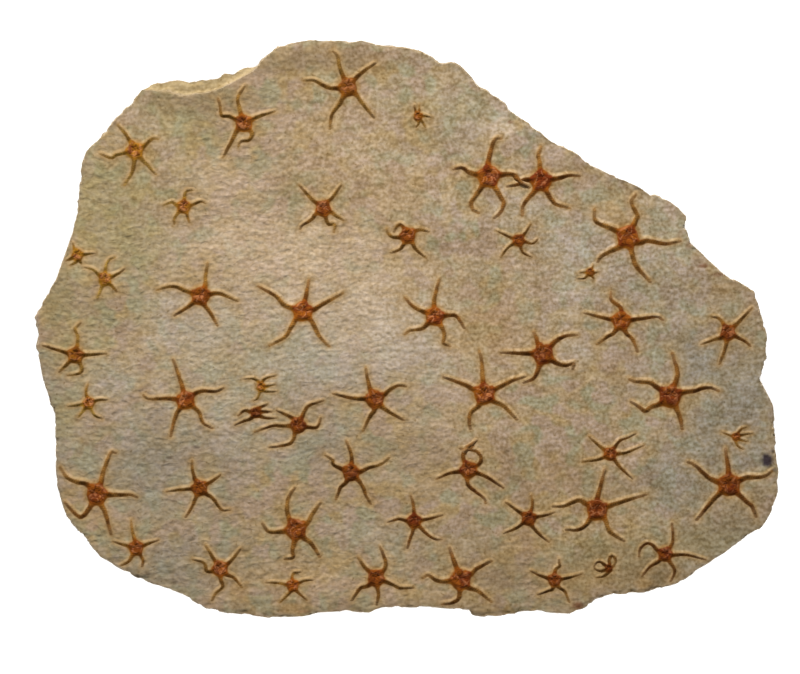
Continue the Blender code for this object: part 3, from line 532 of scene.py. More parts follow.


# stains that run over both the stone and the fossils' banks; the wide pale patches about the middle of the
# face are partly a painted pool of light
marks = {
    # kind of stain: (x, y, half width, half height, strength) in millimetres
    # paler stone; the wide patches about the middle of the face are partly a painted pool of light
    "pale": (
        (-95, 62, 85, 38, 0.75),
        (-22, 12, 48, 44, 0.9),
        (-125, 20, 60, 45, 0.45),
        (75, 158, 13, 9, 0.8),
        (20, -95, 60, 30, 0.3),
        (-50, 150, 70, 40, 0.3),
        (262, -72, 10, 14, 0.3),
        (-136, 120, 36, 20, 0.55),
        (12, 118, 28, 32, 0.3),
        (-88, 24, 34, 22, 0.95),
        (56, -22, 42, 28, 0.5),
        (30, 14, 20, 38, 0.5),
        (-28, -172, 30, 15, 0.3),
        (-65, -201, 34, 11, 0.25),
        (10, -199, 36, 13, 0.25),
    ),
    "silver": (
        (145, 60, 58, 46, 0.65),
        (-70, -32, 78, 30, 0.75),
        (-165, 0, 45, 34, 0.6),
        (-8, -12, 44, 34, 0.6),
        (130, -15, 26, 20, 0.5),
        (170, 130, 26, 14, 0.4),
        (-142, -62, 66, 40, 0.55),
        (190, 60, 70, 60, 0.3),
        (122, -4, 44, 28, 0.4),
        (92, 96, 34, 22, 0.5),
        (-236, -40, 26, 22, 0.6),
        (-72, -74, 42, 16, 0.5),
        (48, 165, 34, 26, 0.4),
        (-210, -70, 36, 14, 0.4),
        (-60, 6, 110, 28, 0.3),
        (-66, -74, 36, 14, 0.3),
        (60, 96, 60, 16, 0.2),
    ),
    "cool": (
        (-195, -112, 74, 40, 0.7),
        (-70, -92, 50, 24, 0.5),
        (205, 10, 60, 46, 0.38),
        (107, 150, 20, 16, 0.35),
        (265, -60, 36, 62, 0.95),
        (232, -120, 50, 46, 0.8),
        (236, -172, 52, 28, 0.9),
        (-286, -90, 22, 66, 0.8),
        (-180, -190, 74, 24, 0.75),
        (-10, -170, 60, 22, 0.35),
        (60, 215, 60, 14, 0.35),
        (254, -30, 26, 32, 0.8),
        (236, -24, 42, 34, 1.0),
        (-285, -66, 12, 56, 0.6),
        (184, -41, 28, 20, 0.45),
        (260, -137, 22, 26, 0.5),
        (-274, -80, 24, 44, 0.45),
    ),
    "moss": (
        (-235, 85, 48, 62, 0.7),
        (-190, 165, 45, 24, 0.45),
        (-262, -10, 24, 40, 0.6),
        (-130, -35, 60, 30, 0.2),
        (20, 172, 40, 22, 0.4),
        (-280, 40, 16, 40, 0.85),
        (156, -188, 44, 24, 0.85),
        (226, -170, 40, 16, 0.7),
        (-276, -72, 18, 26, 0.6),
    ),
    "brown": (
        (120, -196, 110, 24, 0.8),
        (170, -225, 40, 14, 0.8),
        (250, -150, 40, 24, 0.5),
        (10, -224, 130, 12, 0.5),
        (175, 120, 60, 14, 0.4),
        (262, 40, 30, 30, 0.45),
        (5, -100, 40, 18, 0.5),
        (90, -120, 60, 34, 0.35),
        (-86, -72, 24, 9, 0.5),
        (-64, 213, 66, 12, 0.95),
        (162, -134, 44, 18, 0.55),
        (-280, 30, 16, 36, 0.5),
        (-118, 212, 22, 10, 0.8),
        (150, -188, 44, 20, 0.9),
        (226, -168, 30, 14, 0.6),
        (34, 150, 26, 14, 0.1),
        (-154, 184, 46, 12, 0.8),
        (188, -198, 38, 18, 0.95),
        (112, -170, 22, 14, 0.45),
        (262, -8, 22, 20, 0.6),
        (182, -202, 34, 16, 0.6),
    ),
    "ochre": (
        (67, 0, 30, 27, 0.7),
        (98, 42, 32, 20, 0.35),
        (100, -12, 26, 18, 0.45),
        (-133, -209, 9, 11, 0.7),
        (-86, -224, 14, 6, 0.8),
        (190, -203, 9, 6, 0.7),
        (-27, -134, 9, 9, 0.4),
        (118, -118, 22, 16, 0.35),
        (97, -172, 18, 12, 0.4),
        (168, 96, 14, 16, 0.45),
        (-250, -150, 20, 14, 0.4),
        (255, 32, 14, 6, 0.35),
        (10, 165, 16, 12, 0.45),
        (-74, 120, 44, 42, 0.25),
        (-6, 108, 30, 26, 0.3),
        (69, -106, 16, 14, 0.35),
        (-100, -196, 70, 18, 0.4),
        (167, -37, 10, 8, 0.4),
        (148, -200, 32, 14, 0.4),
        (50, 23, 34, 18, 0.25),
    ),
    "rust": (
        (83, 165, 2.2, 1.6, 0.8),
        (137.5, -221, 4.5, 3.0, 0.9),
        (-80, -226, 9, 2.0, 0.6),
        (238, 50, 5, 2, 0.8),
        (250, 43, 7, 2, 0.6),
        (226, 66, 3, 4, 0.5),
        (288, 11, 2.4, 7, 0.8),
        (172, 38, 5.5, 1.2, 0.5),
    ),
    # dark spots: the small ones are painted shade standing for nicks and cracks; the wide faint ones darken
    # the stone a little
    "nickShade": (
        (-189, -103, 3.0, 1.5, 0.9),
        (-192.5, -106.5, 2.4, 1.5, 0.8),
        (-167, -95, 3.2, 1.4, 0.9),
        (-207, -195.5, 3.4, 1.6, 1.0),
        (-184.5, -203.5, 2.0, 2.2, 0.9),
        (192, -111, 2.0, 2.0, 0.8),
        (175, -158.5, 2.4, 1.5, 0.7),
        (81, -99, 2.0, 3.0, 0.6),
        (166, -37, 1.7, 1.7, 0.7),
        (-69, -61, 9.0, 0.9, 0.4),
        (-72, -66, 8.0, 0.9, 0.35),
        (-21, -134, 3.0, 2.0, 0.3),
        (226, 84, 1.6, 4.5, 0.8),
        (184, 112, 3.2, 1.6, 0.8),
        (172, 118, 2.0, 1.4, 0.7),
        (184, -201, 30, 14, 0.13),
        (145, -203, 26, 12, 0.08),
        (260, -105, 22, 22, 0.07),
        (-8, -137, 58, 12, 0.06),
        (69, -169, 24, 14, 0.08),
        (-161, 119, 20, 16, 0.08),
        (255, -10, 20, 16, 0.07),
        (-276, -76, 18, 34, 0.07),
    ),
    "blotch": (
        (288.5, -106, 4.4, 5.6, 1.0),
        (292.5, -98, 2.0, 1.8, 0.9),
        (294.5, -113, 3.5, 1.6, 0.6),
    ),
}


def markStrength(points, name):
    # soft-edged spots with a ragged outline, the wide ones fading far out
    flat = points * (1, 1, 0)
    ragged = noiseAt(flat, (9, 9, 1), 11.5) + 0.5 * noiseAt(flat, (3, 3, 1), 3.5)
    wandering = noiseAt(flat, (34, 34, 1), 15.5)
    total = np.zeros(len(points))
    for x, y, halfWidth, halfHeight, strength in marks[name]:
        wide = ease(10, 40, halfWidth)
        reach = np.hypot((points[:, 0] - x) / halfWidth, (points[:, 1] - y) / halfHeight)
        reach = reach + (0.4 - 0.2 * wide) * ragged + 0.45 * wide * wandering
        solid = 0.45 - 0.35 * wide
        faded = 1.25 + 0.3 * wide
        total = np.maximum(total, strength * (1 - ease(solid, faded, reach)))
    return total


# the stain in the stone round each fossil, with distances in millimetres from its side
haloStain = {
    "shift": (0, 1.1, 0),  # it lies this far down the face from the fossil, on the side away from the key light, so there it is partly painted shade
    "nearStart": 0.2, "nearEnd": 3.2, "nearShare": 0.62,
    "farStart": 1.0, "farEnd": 10.0, "farShare": 0.36,
    "rootStart": 0.05, "rootEnd": 0.62,  # round a disc, as shares of its radius
}


def fossilTree():
    # places along every arm and round every disc's rim, with the half width there
    rimStep = 1.2
    rimHalf = 0.4
    rows = []
    for (centre, radius, _), arms in zip(starfish, routes):
        for arm in arms:
            for share, row in zip(np.linspace(0, 1, len(arm)), arm):
                rows.append((row[0], row[1], armHalf(radius, share)))
        for turn in np.arange(0, 2 * math.pi, rimStep / radius):
            x = centre[0] + radius * math.cos(turn)
            y = centre[1] + radius * math.sin(turn)
            rows.append((x, y, rimHalf))
    tree = KDTree(len(rows))
    for index, (x, y, _) in enumerate(rows):
        tree.insert((x, y, 0.0), index)
    tree.balance()
    return tree, np.array([half for _, _, half in rows])


def fossilGaps(points):
    # distance from each point to the side of the nearest fossil
    tree, halves = fossilPlaces
    found = [tree.find((x, y, 0.0)) for x, y, _ in points]
    return np.array([gap for _, _, gap in found]) - halves[[index for _, index, _ in found]]


fossilPlaces = fossilTree()


def discGaps(points):
    # distance from each point to the nearest disc's rim, as a share of its radius
    best = np.full(len(points), 1e9)
    for centre, radius, _ in starfish:
        out = np.hypot(points[:, 0] - centre[0], points[:, 1] - centre[1])
        best = np.minimum(best, out / radius - 1.0)
    return best


def haloStrength(points):
    # how much the stone is stained by the fossil next to it
    gaps = fossilGaps(points + haloStain["shift"])
    ragged = noiseAt(points * (1, 1, 0), (9, 9, 1), 7.5)
    near = 1 - ease(haloStain["nearStart"], haloStain["nearEnd"], gaps + 0.6 * ragged)
    far = 1 - ease(haloStain["farStart"], haloStain["farEnd"], gaps + 2.5 * ragged)
    return haloStain["nearShare"] * near + haloStain["farShare"] * far


def rootStrength(points):
    # the browner stain close round each disc
    ragged = noiseAt(points * (1, 1, 0), (6, 6, 1), 8.5)
    return 1 - ease(haloStain["rootStart"], haloStain["rootEnd"], discGaps(points) + 0.12 * ragged)


def paintMarks(mesh, points):
    # how strong each stain is at every point, for the materials to read
    for name in marks:
        setAttribute(mesh, name, markStrength(points, name))
    setAttribute(mesh, "halo", haloStrength(points))
    setAttribute(mesh, "rootStain", rootStrength(points))


# the slab, in millimetres where nothing else is said
stone = {
    "cell": 0.00178,  # metres
    "cellStretch": (1.38, 0.7, 1.0),  # cells are long in x and short in y, as the wrinkles are
    "backDepth": 0.8,  # what faces down below this level belongs to the flat back
    "wrinkleRise": 0.25,
    "swellRise": 0.42,
    "fineRise": 0.09,
    "chipReach": 2.2, "chipWander": 1.3, "chipDrop": 0.8,
    "raggedness": 1.1,
    "wallDepth": 1.9,
    "rimLevel": 27.5,
    "edgeRound": 0.1, "roundReach": 1.6,
    "sharpAngle": 38,  # degrees between two cells that meet in a sharp edge
    "cornerReach": 2.6, "cornerMost": 1.5,
    "edgeReach": 6.0,  # how far in from the edge its raggedness is felt
    "edgeNeighbours": 24,  # points of wall that say which way a stretch of it faces
    "edgeTint": 4.0,  # how far in from the edge its darker tint reaches
    "fossilClear": (4.0, 8.0),  # the edge is left whole this near to a fossil
    "ledgeFrom": 180.0,  # the ledge is bare stone, and lies above this y
}


def denseStone():
    # the slab's solid, remeshed into small even cells with a plain back
    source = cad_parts["slab"].data
    shape = bmesh.new()
    shape.from_mesh(source)
    bmesh.ops.remove_doubles(shape, verts=shape.verts, dist=1e-6)
    bmesh.ops.scale(shape, verts=shape.verts, vec=[1 / share for share in stone["cellStretch"]])
    coarse = bpy.data.meshes.new("stoneCoarse")
    shape.to_mesh(coarse)
    shape.free()
    holder = bpy.data.objects.new("stoneCoarse", coarse)
    bpy.context.scene.collection.objects.link(holder)
    remesh = holder.modifiers.new("cells", "REMESH")
    remesh.mode = "VOXEL"
    remesh.voxel_size = stone["cell"]
    remesh.adaptivity = 0.0
    bpy.context.view_layer.update()
    remeshed = holder.evaluated_get(bpy.context.evaluated_depsgraph_get())
    dense = bpy.data.meshes.new_from_object(remeshed)
    bpy.data.objects.remove(holder)
    return plainBack(dense)


def plainBack(dense):
    # swaps the many cells of the flat back for one polygon
    shape = bmesh.new()
    shape.from_mesh(dense)
    bmesh.ops.scale(shape, verts=shape.verts, vec=stone["cellStretch"])
    shape.normal_update()
    highest = stone["backDepth"] * mm
    facingDown = [face for face in shape.faces if face.normal.z < -0.9]
    lowCells = [face for face in facingDown if face.calc_center_median().z < highest]
    bmesh.ops.delete(shape, geom=lowCells, context="FACES")
    rim = [edge for edge in shape.edges if edge.is_boundary]
    for edge in rim:
        for vert in edge.verts:
            vert.co.z = 0.0
    bmesh.ops.holes_fill(shape, edges=rim, sides=0)
    bmesh.ops.recalc_face_normals(shape, faces=shape.faces)
    shape.to_mesh(dense)
    shape.free()
    dense.name = "stoneSlab"
    return dense


def wrinkleStrength(points):
    # the wrinkles are strongest at the left and lower left, and weak at the right
    x, y = points[:, 0], points[:, 1]
    strength = 0.35 + 0.65 * (1 - ease(-90.0, 150.0, x + 0.5 * y))
    strength = strength + 0.3 * (1 - ease(-200.0, -90.0, x)) * (1 - ease(-90.0, -20.0, y))
    return strength * (0.85 + 0.35 * noiseAt(points * (1, 1, 0), (60, 60, 1), 5.5))


def wrinkleHeight(points):
    # low crumpled ridges that run mostly from side to side
    flat = points * (1, 1, 0)
    bend = noiseAt(flat, (24, 24, 1), 1.5)
    turned = flat.copy()
    turned[:, 1] += 5.0 * bend
    turned[:, 0] += 4.0 * noiseAt(flat, (19, 19, 1), 2.5)
    humps = 2 * np.abs(noiseAt(turned, (9.5, 5.2, 1), 4.5)) - 0.5
    small = 2 * np.abs(noiseAt(turned, (6.4, 3.8, 1), 8.5)) - 0.5
    return 0.6 * humps + 0.4 * small


def edgeGaps(points, normals):
    # distance from each point to the nearest wall, and which way that stretch of wall faces
    walls = np.nonzero(np.abs(normals[:, 2]) < 0.5)[0]
    tree = KDTree(len(walls))
    for index in walls:
        tree.insert((points[index][0], points[index][1], 0.0), int(index))
    tree.balance()
    gaps = np.empty(len(points))
    facing = np.zeros((len(points), 3))
    for row, (x, y, _) in enumerate(points):
        _, _, gaps[row] = tree.find((x, y, 0.0))
        if gaps[row] < stone["edgeReach"]:
            near = [index for _, index, _ in tree.find_n((x, y, 0.0), stone["edgeNeighbours"])]
            facing[row, :2] = normals[near, :2].sum(axis=0)
    facing /= np.maximum(np.linalg.norm(facing, axis=1), 1e-6)[:, None]
    return gaps, facing


def rimLift(points, facing, gaps):
    # remeshing rounds the corner between face and wall: how far its points go back up to the face
    tops = np.nonzero((facing > 0.985) & (gaps > stone["cornerReach"]))[0]
    tree = KDTree(len(tops))
    for index in tops:
        tree.insert((points[index][0], points[index][1], 0.0), int(index))
    tree.balance()
    lift = np.zeros(len(points))
    rounded = (facing > 0.15) & (gaps < stone["cornerReach"] + 1.0) & (points[:, 2] > 20)
    for row in np.nonzero(rounded)[0]:
        x, y, level = points[row]
        near = [index for _, index, _ in tree.find_n((x, y, 0.0), 3)]
        missing = points[near, 2].mean() - level
        if 0 < missing < stone["cornerMost"]:
            lift[row] = missing
    return lift * ease(0.15, 0.4, facing)


def weatherStone(mesh):
    # wrinkles the face, chips the rim, cuts beds into the walls and paints where each of them is
    points = readPoints(mesh)
    normals = np.empty(len(points) * 3)
    mesh.vertices.foreach_get("normal", normals)
    normals = normals.reshape(-1, 3)
    facing = normals[:, 2]
    gaps, outward = edgeGaps(points, normals)
    free = ease(*stone["fossilClear"], fossilGaps(points))
    onTop = ease(0.3, 0.85, facing)
    onWall = 1 - ease(0.25, 0.75, np.abs(facing))
    # the walls sink with the face above them, so no lip is left at the rim
    sinking = np.maximum(onTop, ease(12.0, 26.5, points[:, 2]))
    flat = points * (1, 1, 0)
    strength = wrinkleStrength(points)

    # the face: swells, wrinkles and chipped edges
    rise = stone["wrinkleRise"] * strength * wrinkleHeight(points)
    rise += stone["swellRise"] * noiseAt(flat, (38, 30, 1), 6.5)
    rise += stone["fineRise"] * noiseAt(flat, (2.6, 2.4, 1), 9.5)
    chips = ease(0.0, 0.4, noiseAt(flat, (10, 10, 1), 21.5) + 0.6 * noiseAt(flat, (4, 4, 1), 22.5))
    wander = stone["chipWander"] * noiseAt(flat, (4.5, 4.5, 1), 23.5)
    nearEdge = 1 - ease(0.0, stone["chipReach"], gaps + wander)
    rise -= stone["chipDrop"] * chips * nearEdge * free
    rise -= stone["edgeRound"] * (1 - ease(0.0, stone["roundReach"], gaps)) * (0.3 + 0.7 * free)
    shift = np.zeros_like(points)
    shift[:, 2] = rise * sinking * (facing > -0.5) + rimLift(points, facing, gaps)

    # the walls: thin beds that stand in and out, and a ragged rim seen from above
    thinBeds = np.abs(noiseAt(points, (38, 38, 1.9), 31.5))
    thickBeds = np.abs(noiseAt(points, (7, 7, 3.0), 32.5))
    beds = thinBeds * 1.6 + 0.7 * thickBeds
    notches = noiseAt(flat, (7.5, 7.5, 1), 33.5) + 0.5 * noiseAt(flat, (3.2, 3.2, 1), 34.5)
    ragged = ease(-0.1, 0.6, notches)
    belowRim = 1 - ease(stone["rimLevel"] - 4.5, stone["rimLevel"], points[:, 2])
    midWall = ease(0.5, 4.0, points[:, 2]) * belowRim
    inward = stone["wallDepth"] * beds * onWall * midWall
    atEdge = 1 - ease(0.0, stone["edgeReach"], gaps)
    inward = inward + stone["raggedness"] * ragged * atEdge * (facing > -0.5)
    inward = inward * np.where(points[:, 2] > 22, 0.12 + 0.88 * free, 1.0)
    shift -= outward * inward[:, None] * (1 - ease(0.9, 0.98, -facing))[:, None]
    onBack = points[:, 2] < 0.02
    shift[onBack, 2] = 0.0
    points = points + shift
    points = np.clip(points, np.array(cadLow) / mm, np.array(cadHigh) / mm)
    writePoints(mesh, points)

    setAttribute(mesh, "wall", onWall)
    setAttribute(mesh, "wrinkle", strength)
    dirt = ease(-0.15, 0.35, noiseAt(flat, (2.8, 2.8, 1), 25.5))
    upward = 0.55 + 0.6 * ease(-0.6, 0.6, outward[:, 1])  # the darker edge tint is strongest along the rims that face +Y
    edgeTint = 1 - ease(0.0, stone["edgeTint"], gaps)
    setAttribute(mesh, "edge", edgeTint * (0.35 + 0.3 * chips + 0.35 * dirt) * upward)
    lowGround = 1 - ease(26.2, 28.2, points[:, 2])
    farUp = ease(stone["ledgeFrom"], stone["ledgeFrom"] + 6.0, points[:, 1])
    setAttribute(mesh, "ledge", onTop * lowGround * (gaps < 14) * farUp)
    paintMarks(mesh, points)


def buildStone():
    mesh = denseStone()
    weatherStone(mesh)
    mesh.shade_smooth()
    mesh.set_sharp_from_angle(angle=math.radians(stone["sharpAngle"]))
    piece = bpy.data.objects.new("stoneSlab", mesh)
    bpy.context.scene.collection.objects.link(piece)
    piece.data.materials.clear()
    piece.data.materials.append(stoneMaterial())
    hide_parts("slab")
    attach(piece, "root")
    print("stone:", len(mesh.polygons), "cells")
    return piece


# the stone's colours: its ground, its wide tints, and what each stain turns it to
stoneLook = {
    "tan": (0.335, 0.252, 0.152, 1),
    "warmTan": (0.375, 0.268, 0.152, 1),
    "sandy": (0.36, 0.25, 0.118, 1),
    "greenGrey": (0.298, 0.257, 0.154, 1),
    "pinkGrey": (0.354, 0.252, 0.17, 1),
    # paler stone, and partly a painted pool of light about the middle of the face
    "pale": (0.55, 0.411, 0.277, 1),
    "silver": (0.408, 0.357, 0.289, 1),
    "cool": (0.245, 0.218, 0.168, 1),
    "moss": (0.315, 0.262, 0.125, 1),
    "brown": (0.225, 0.156, 0.08, 1),
    "ochre": (0.36, 0.215, 0.075, 1),
    "halo": (0.365, 0.235, 0.106, 1),
    "rootStain": (0.33, 0.19, 0.07, 1),
    "rust": (0.17, 0.065, 0.025, 1),
    # painted shade of small nicks and cracks
    "nickShade": (0.11, 0.075, 0.04, 1),
    "blotch": (0.03, 0.02, 0.03, 1),
    "edge": (0.25, 0.185, 0.11, 1),
    "ledge": (0.4, 0.3, 0.155, 1),
    "wallDark": (0.2, 0.15, 0.09, 1),
    "wallPale": (0.345, 0.265, 0.165, 1),
    "tints": (  # the tints' patches: colour, size in millimetres, place in the noise, and its range
        ("sandy", 22, (8, 2, 0), 0.43, 0.6),
        ("greenGrey", 18, (3, 1, 0), 0.45, 0.62),
        ("pinkGrey", 17, (1, 7, 0), 0.47, 0.63),
    ),
    "shares": {  # how far each stain covers the colours below it, in this order
        "pale": 0.85, "silver": 0.8, "cool": 0.85, "moss": 0.85, "brown": 0.85, "ochre": 0.75,
        "halo": 0.85, "rootStain": 0.75, "edge": 0.6, "ledge": 0.9,
        "rust": 0.9, "nickShade": 0.75, "blotch": 0.95,
    },
    "roughness": 0.93,
    "specular": 0.1,
    "bumpDepth": 0.0011,
}

# the fossils' colours, and multipliers of them where a number is near 1
fossilLook = {
    "armGold": (0.146, 0.073, 0.0125, 1),
    "armRed": (0.134, 0.052, 0.009, 1),
    "armJoint": (1.36, 1.52, 1.8, 1),
    "armDim": (0.66, 0.62, 0.54, 1),
    "armBright": (1.42, 1.46, 1.5, 1),
    "broadDim": (0.84, 0.77, 0.7, 1),
    "broadBright": (1.12, 1.2, 1.3, 1),
    "rootGold": (0.166, 0.075, 0.006, 1),
    "rootRed": (0.164, 0.05, 0.003, 1),
    "discOrange": (0.205, 0.055, 0.004, 1),
    "discRed": (0.135, 0.023, 0.003, 1),
    "discGold": (0.235, 0.103, 0.008, 1),
    "discBrown": (0.155, 0.057, 0.005, 1),
    # pale lines over the discs: painted highlights
    "discPaintedHighlight": (0.4, 0.16, 0.065, 1),
    "paintedHighlightShare": 0.55,
    # dark red of the discs' lines, also painted into the seams, mouth and rays: partly the fossil's colour,
    # partly painted shade in these hollows
    "grooveRedAndShade": (0.085, 0.016, 0.003, 1),
    "lineShare": 0.75,
    "pale": (1.45, 1.5, 1.6, 1),
    "deep": (0.72, 0.64, 0.6, 1),
    "roughness": 0.85,
    "specular": 0.08,
    "bumpDepth": 0.0006,
}

# how red each fossil is, from 0, ochre, to 1, and how deep its colour
plainShade = (0.55, 0.4)
shades = {
    1: (0.15, 0.0), 2: (0.4, 0.4), 3: (0.3, 0.55), 4: (0.3, 0.5), 5: (1.0, 0.3), 6: (1.0, 0.3),
    7: (0.0, 0.05), 8: (0.0, 0.2), 9: (0.2, 0.1), 10: (0.6, 0.3), 12: (0.9, 0.0), 14: (0.5, 0.55),
    15: (0.9, 0.1), 16: (0.3, 0.6), 17: (0.9, 0.3), 18: (0.9, 0.4), 19: (0.7, 0.7), 20: (0.25, 0.5),
    21: (0.1, 0.0), 22: (0.8, 0.4), 23: (0.2, 0.35), 24: (0.5, 1.0), 25: (0.7, 0.8), 26: (0.7, 0.5),
    27: (0.5, 0.7), 28: (0.9, 0.3), 29: (1.0, 0.6), 30: (1.0, 0.75), 31: (0.9, 0.6), 32: (0.6, 0.6),
    33: (0.4, 0.5), 34: (0.9, 0.8), 35: (0.8, 0.5), 37: (0.4, 0.7), 38: (0.7, 0.5), 40: (0.5, 0.2),
    41: (0.6, 0.7), 42: (0.9, 0.8), 43: (0.9, 0.5), 44: (0.6, 0.9), 45: (0.5, 0.9), 46: (0.8, 0.6),
    47: (0.4, 1.0), 48: (0.9, 0.9),
}


def newMaterial(name):
    # a material with a node that gives places on the object
    material = bpy.data.materials.new(name)
    material.use_nodes = True
    addNode(material.node_tree, "ShaderNodeTexCoord", name="place")
    return material


def addNode(tree, kind, **values):
    made = tree.nodes.new(kind)
    for name, value in values.items():
        setattr(made, name, value)
    return made


def readAttribute(tree, name):
    return addNode(tree, "ShaderNodeAttribute", attribute_name=name).outputs["Fac"]


def grainNoise(tree, grain, detail=1.0, roughness=0.55, stretch=(1, 1, 1), shift=(0, 0, 0), distortion=0.0):
    # grain is the size of a patch in millimetres
    mapping = addNode(tree, "ShaderNodeMapping")
    mapping.inputs["Scale"].default_value = stretch
    mapping.inputs["Location"].default_value = shift
    texture = addNode(tree, "ShaderNodeTexNoise")
    texture.inputs["Scale"].default_value = 1000.0 / grain
    texture.inputs["Detail"].default_value = detail
    texture.inputs["Roughness"].default_value = roughness
    texture.inputs["Distortion"].default_value = distortion
    tree.links.new(tree.nodes["place"].outputs["Object"], mapping.inputs["Vector"])
    tree.links.new(mapping.outputs["Vector"], texture.inputs["Vector"])
    return texture.outputs["Fac"]


def remap(tree, value, low, high, toLow=0.0, toHigh=1.0):
    made = addNode(tree, "ShaderNodeMapRange", interpolation_type="SMOOTHSTEP")
    tree.links.new(value, made.inputs["Value"])
    for name, number in (("From Min", low), ("From Max", high), ("To Min", toLow), ("To Max", toHigh)):
        made.inputs[name].default_value = number
    return made.outputs["Result"]


def combine(tree, operation, first, second=0.0):
    made = addNode(tree, "ShaderNodeMath", operation=operation)
    for socket, value in zip(made.inputs, (first, second)):
        if isinstance(value, (int, float)):
            socket.default_value = value
        else:
            tree.links.new(value, socket)
    return made.outputs["Value"]


def mixColours(tree, share, first, second, blend="MIX"):
    made = addNode(tree, "ShaderNodeMix", data_type="RGBA", blend_type=blend)
    sockets = (made.inputs[0], made.inputs[6], made.inputs[7])
    for socket, value in zip(sockets, (share, first, second)):
        if isinstance(value, (int, float, tuple)):
            socket.default_value = value
        else:
            tree.links.new(value, socket)
    return made.outputs[2]


def windingLines(tree, noise, width):
    # thin lines where a noise crosses its middle, one on the line and zero away from it
    away = combine(tree, "ABSOLUTE", combine(tree, "SUBTRACT", noise, 0.5))
    return remap(tree, away, 0.0, width, 1.0, 0.0)


def stoneColour(tree):
    look = stoneLook
    warm = remap(tree, grainNoise(tree, 75, detail=2.0), 0.4, 0.62)
    colour = mixColours(tree, warm, look["tan"], look["warmTan"])
    for name, size, shift, low, high in look["tints"]:
        patch = remap(tree, grainNoise(tree, size, shift=shift), low, high)
        colour = mixColours(tree, patch, colour, look[name])
    for name, share in look["shares"].items():
        cover = combine(tree, "MULTIPLY", readAttribute(tree, name), share)
        colour = mixColours(tree, cover, colour, look[name])
    return colour


def stoneGrain(tree, colour):
    # lighter and darker grains over any colour of the stone, weaker where it is wrinkled
    grain = remap(tree, grainNoise(tree, 2.7, roughness=0.4), 0.25, 0.75, -0.2, 0.2)
    shade = remap(tree, grainNoise(tree, 6.5, shift=(5, 2, 0)), 0.25, 0.75, -0.14, 0.14)
    cloud = remap(tree, grainNoise(tree, 19, shift=(9, 6, 0)), 0.25, 0.75, -0.065, 0.065)
    strength = remap(tree, readAttribute(tree, "wrinkle"), 0.3, 1.0, 1.0, 0.55)
    value = combine(tree, "MULTIPLY", combine(tree, "ADD", grain, shade), strength)
    value = combine(tree, "ADD", value, cloud)
    specks = remap(tree, grainNoise(tree, 3.0, shift=(2, 9, 0)), 0.65, 0.78, 1.0, 0.74)
    value = combine(tree, "MULTIPLY", combine(tree, "ADD", value, 1.0), specks)
    # the darker a grain the browner it is
    tint = addNode(tree, "ShaderNodeCombineColor")
    for socket, power in zip(tint.inputs, (1.0, 1.2, 1.7)):
        tree.links.new(combine(tree, "POWER", value, power), socket)
    return mixColours(tree, 1.0, colour, tint.outputs["Color"], "MULTIPLY")


def stoneRelief(tree):
    # heights of rounded grains, thin ridges where the stone is wrinkled, and a little sand
    wrinkled = remap(tree, readAttribute(tree, "wrinkle"), 0.35, 1.0)
    grains = grainNoise(tree, 4.4, detail=0.0, stretch=(0.8, 1, 1), distortion=0.3)
    smallGrains = grainNoise(tree, 3.3, detail=0.0, stretch=(0.75, 1, 1), shift=(6, 1, 0), distortion=0.2)
    ridges = windingLines(tree, grainNoise(tree, 9.0, stretch=(0.62, 1, 1), shift=(2, 5, 0)), 0.12)
    smallRidges = windingLines(tree, grainNoise(tree, 7.0, stretch=(0.8, 1, 1), shift=(7, 3, 0)), 0.1)
    sand = grainNoise(tree, 1.4, roughness=0.5, shift=(4, 4, 0))
    layers = (
        # each with its weight on plain and on wrinkled stone
        (grains, 0.49, 0.7),
        (smallGrains, 0.22, 0.36),
        (ridges, 0.0, 0.1),
        (smallRidges, 0.0, 0.08),
        (sand, 0.02, 0.02),
    )
    relief = 0.0
    for layer, plainWeight, wrinkledWeight in layers:
        weight = remap(tree, wrinkled, 0.0, 1.0, plainWeight, wrinkledWeight)
        relief = combine(tree, "ADD", combine(tree, "MULTIPLY", layer, weight), relief)
    return relief


def finishShader(material, colour, relief, look):
    # a dull finish with the relief as bump
    tree = material.node_tree
    shader = tree.nodes["Principled BSDF"]
    bump = addNode(tree, "ShaderNodeBump")
    bump.inputs["Strength"].default_value = 1.0
    bump.inputs["Distance"].default_value = look["bumpDepth"]
    tree.links.new(relief, bump.inputs["Height"])
    tree.links.new(bump.outputs["Normal"], shader.inputs["Normal"])
    tree.links.new(colour, shader.inputs["Base Color"])
    shader.inputs["Roughness"].default_value = look["roughness"]
    shader.inputs["Specular IOR Level"].default_value = look["specular"]


def stoneMaterial():
    material = newMaterial("paleSandstone")
    tree = material.node_tree
    face = stoneColour(tree)
    beds = grainNoise(tree, 30, detail=4.0, roughness=0.65, stretch=(1, 1, 12))
    wall = mixColours(tree, remap(tree, beds, 0.36, 0.64), stoneLook["wallDark"], stoneLook["wallPale"])
    colour = stoneGrain(tree, mixColours(tree, readAttribute(tree, "wall"), face, wall))
    finishShader(material, colour, stoneRelief(tree), stoneLook)
    return material


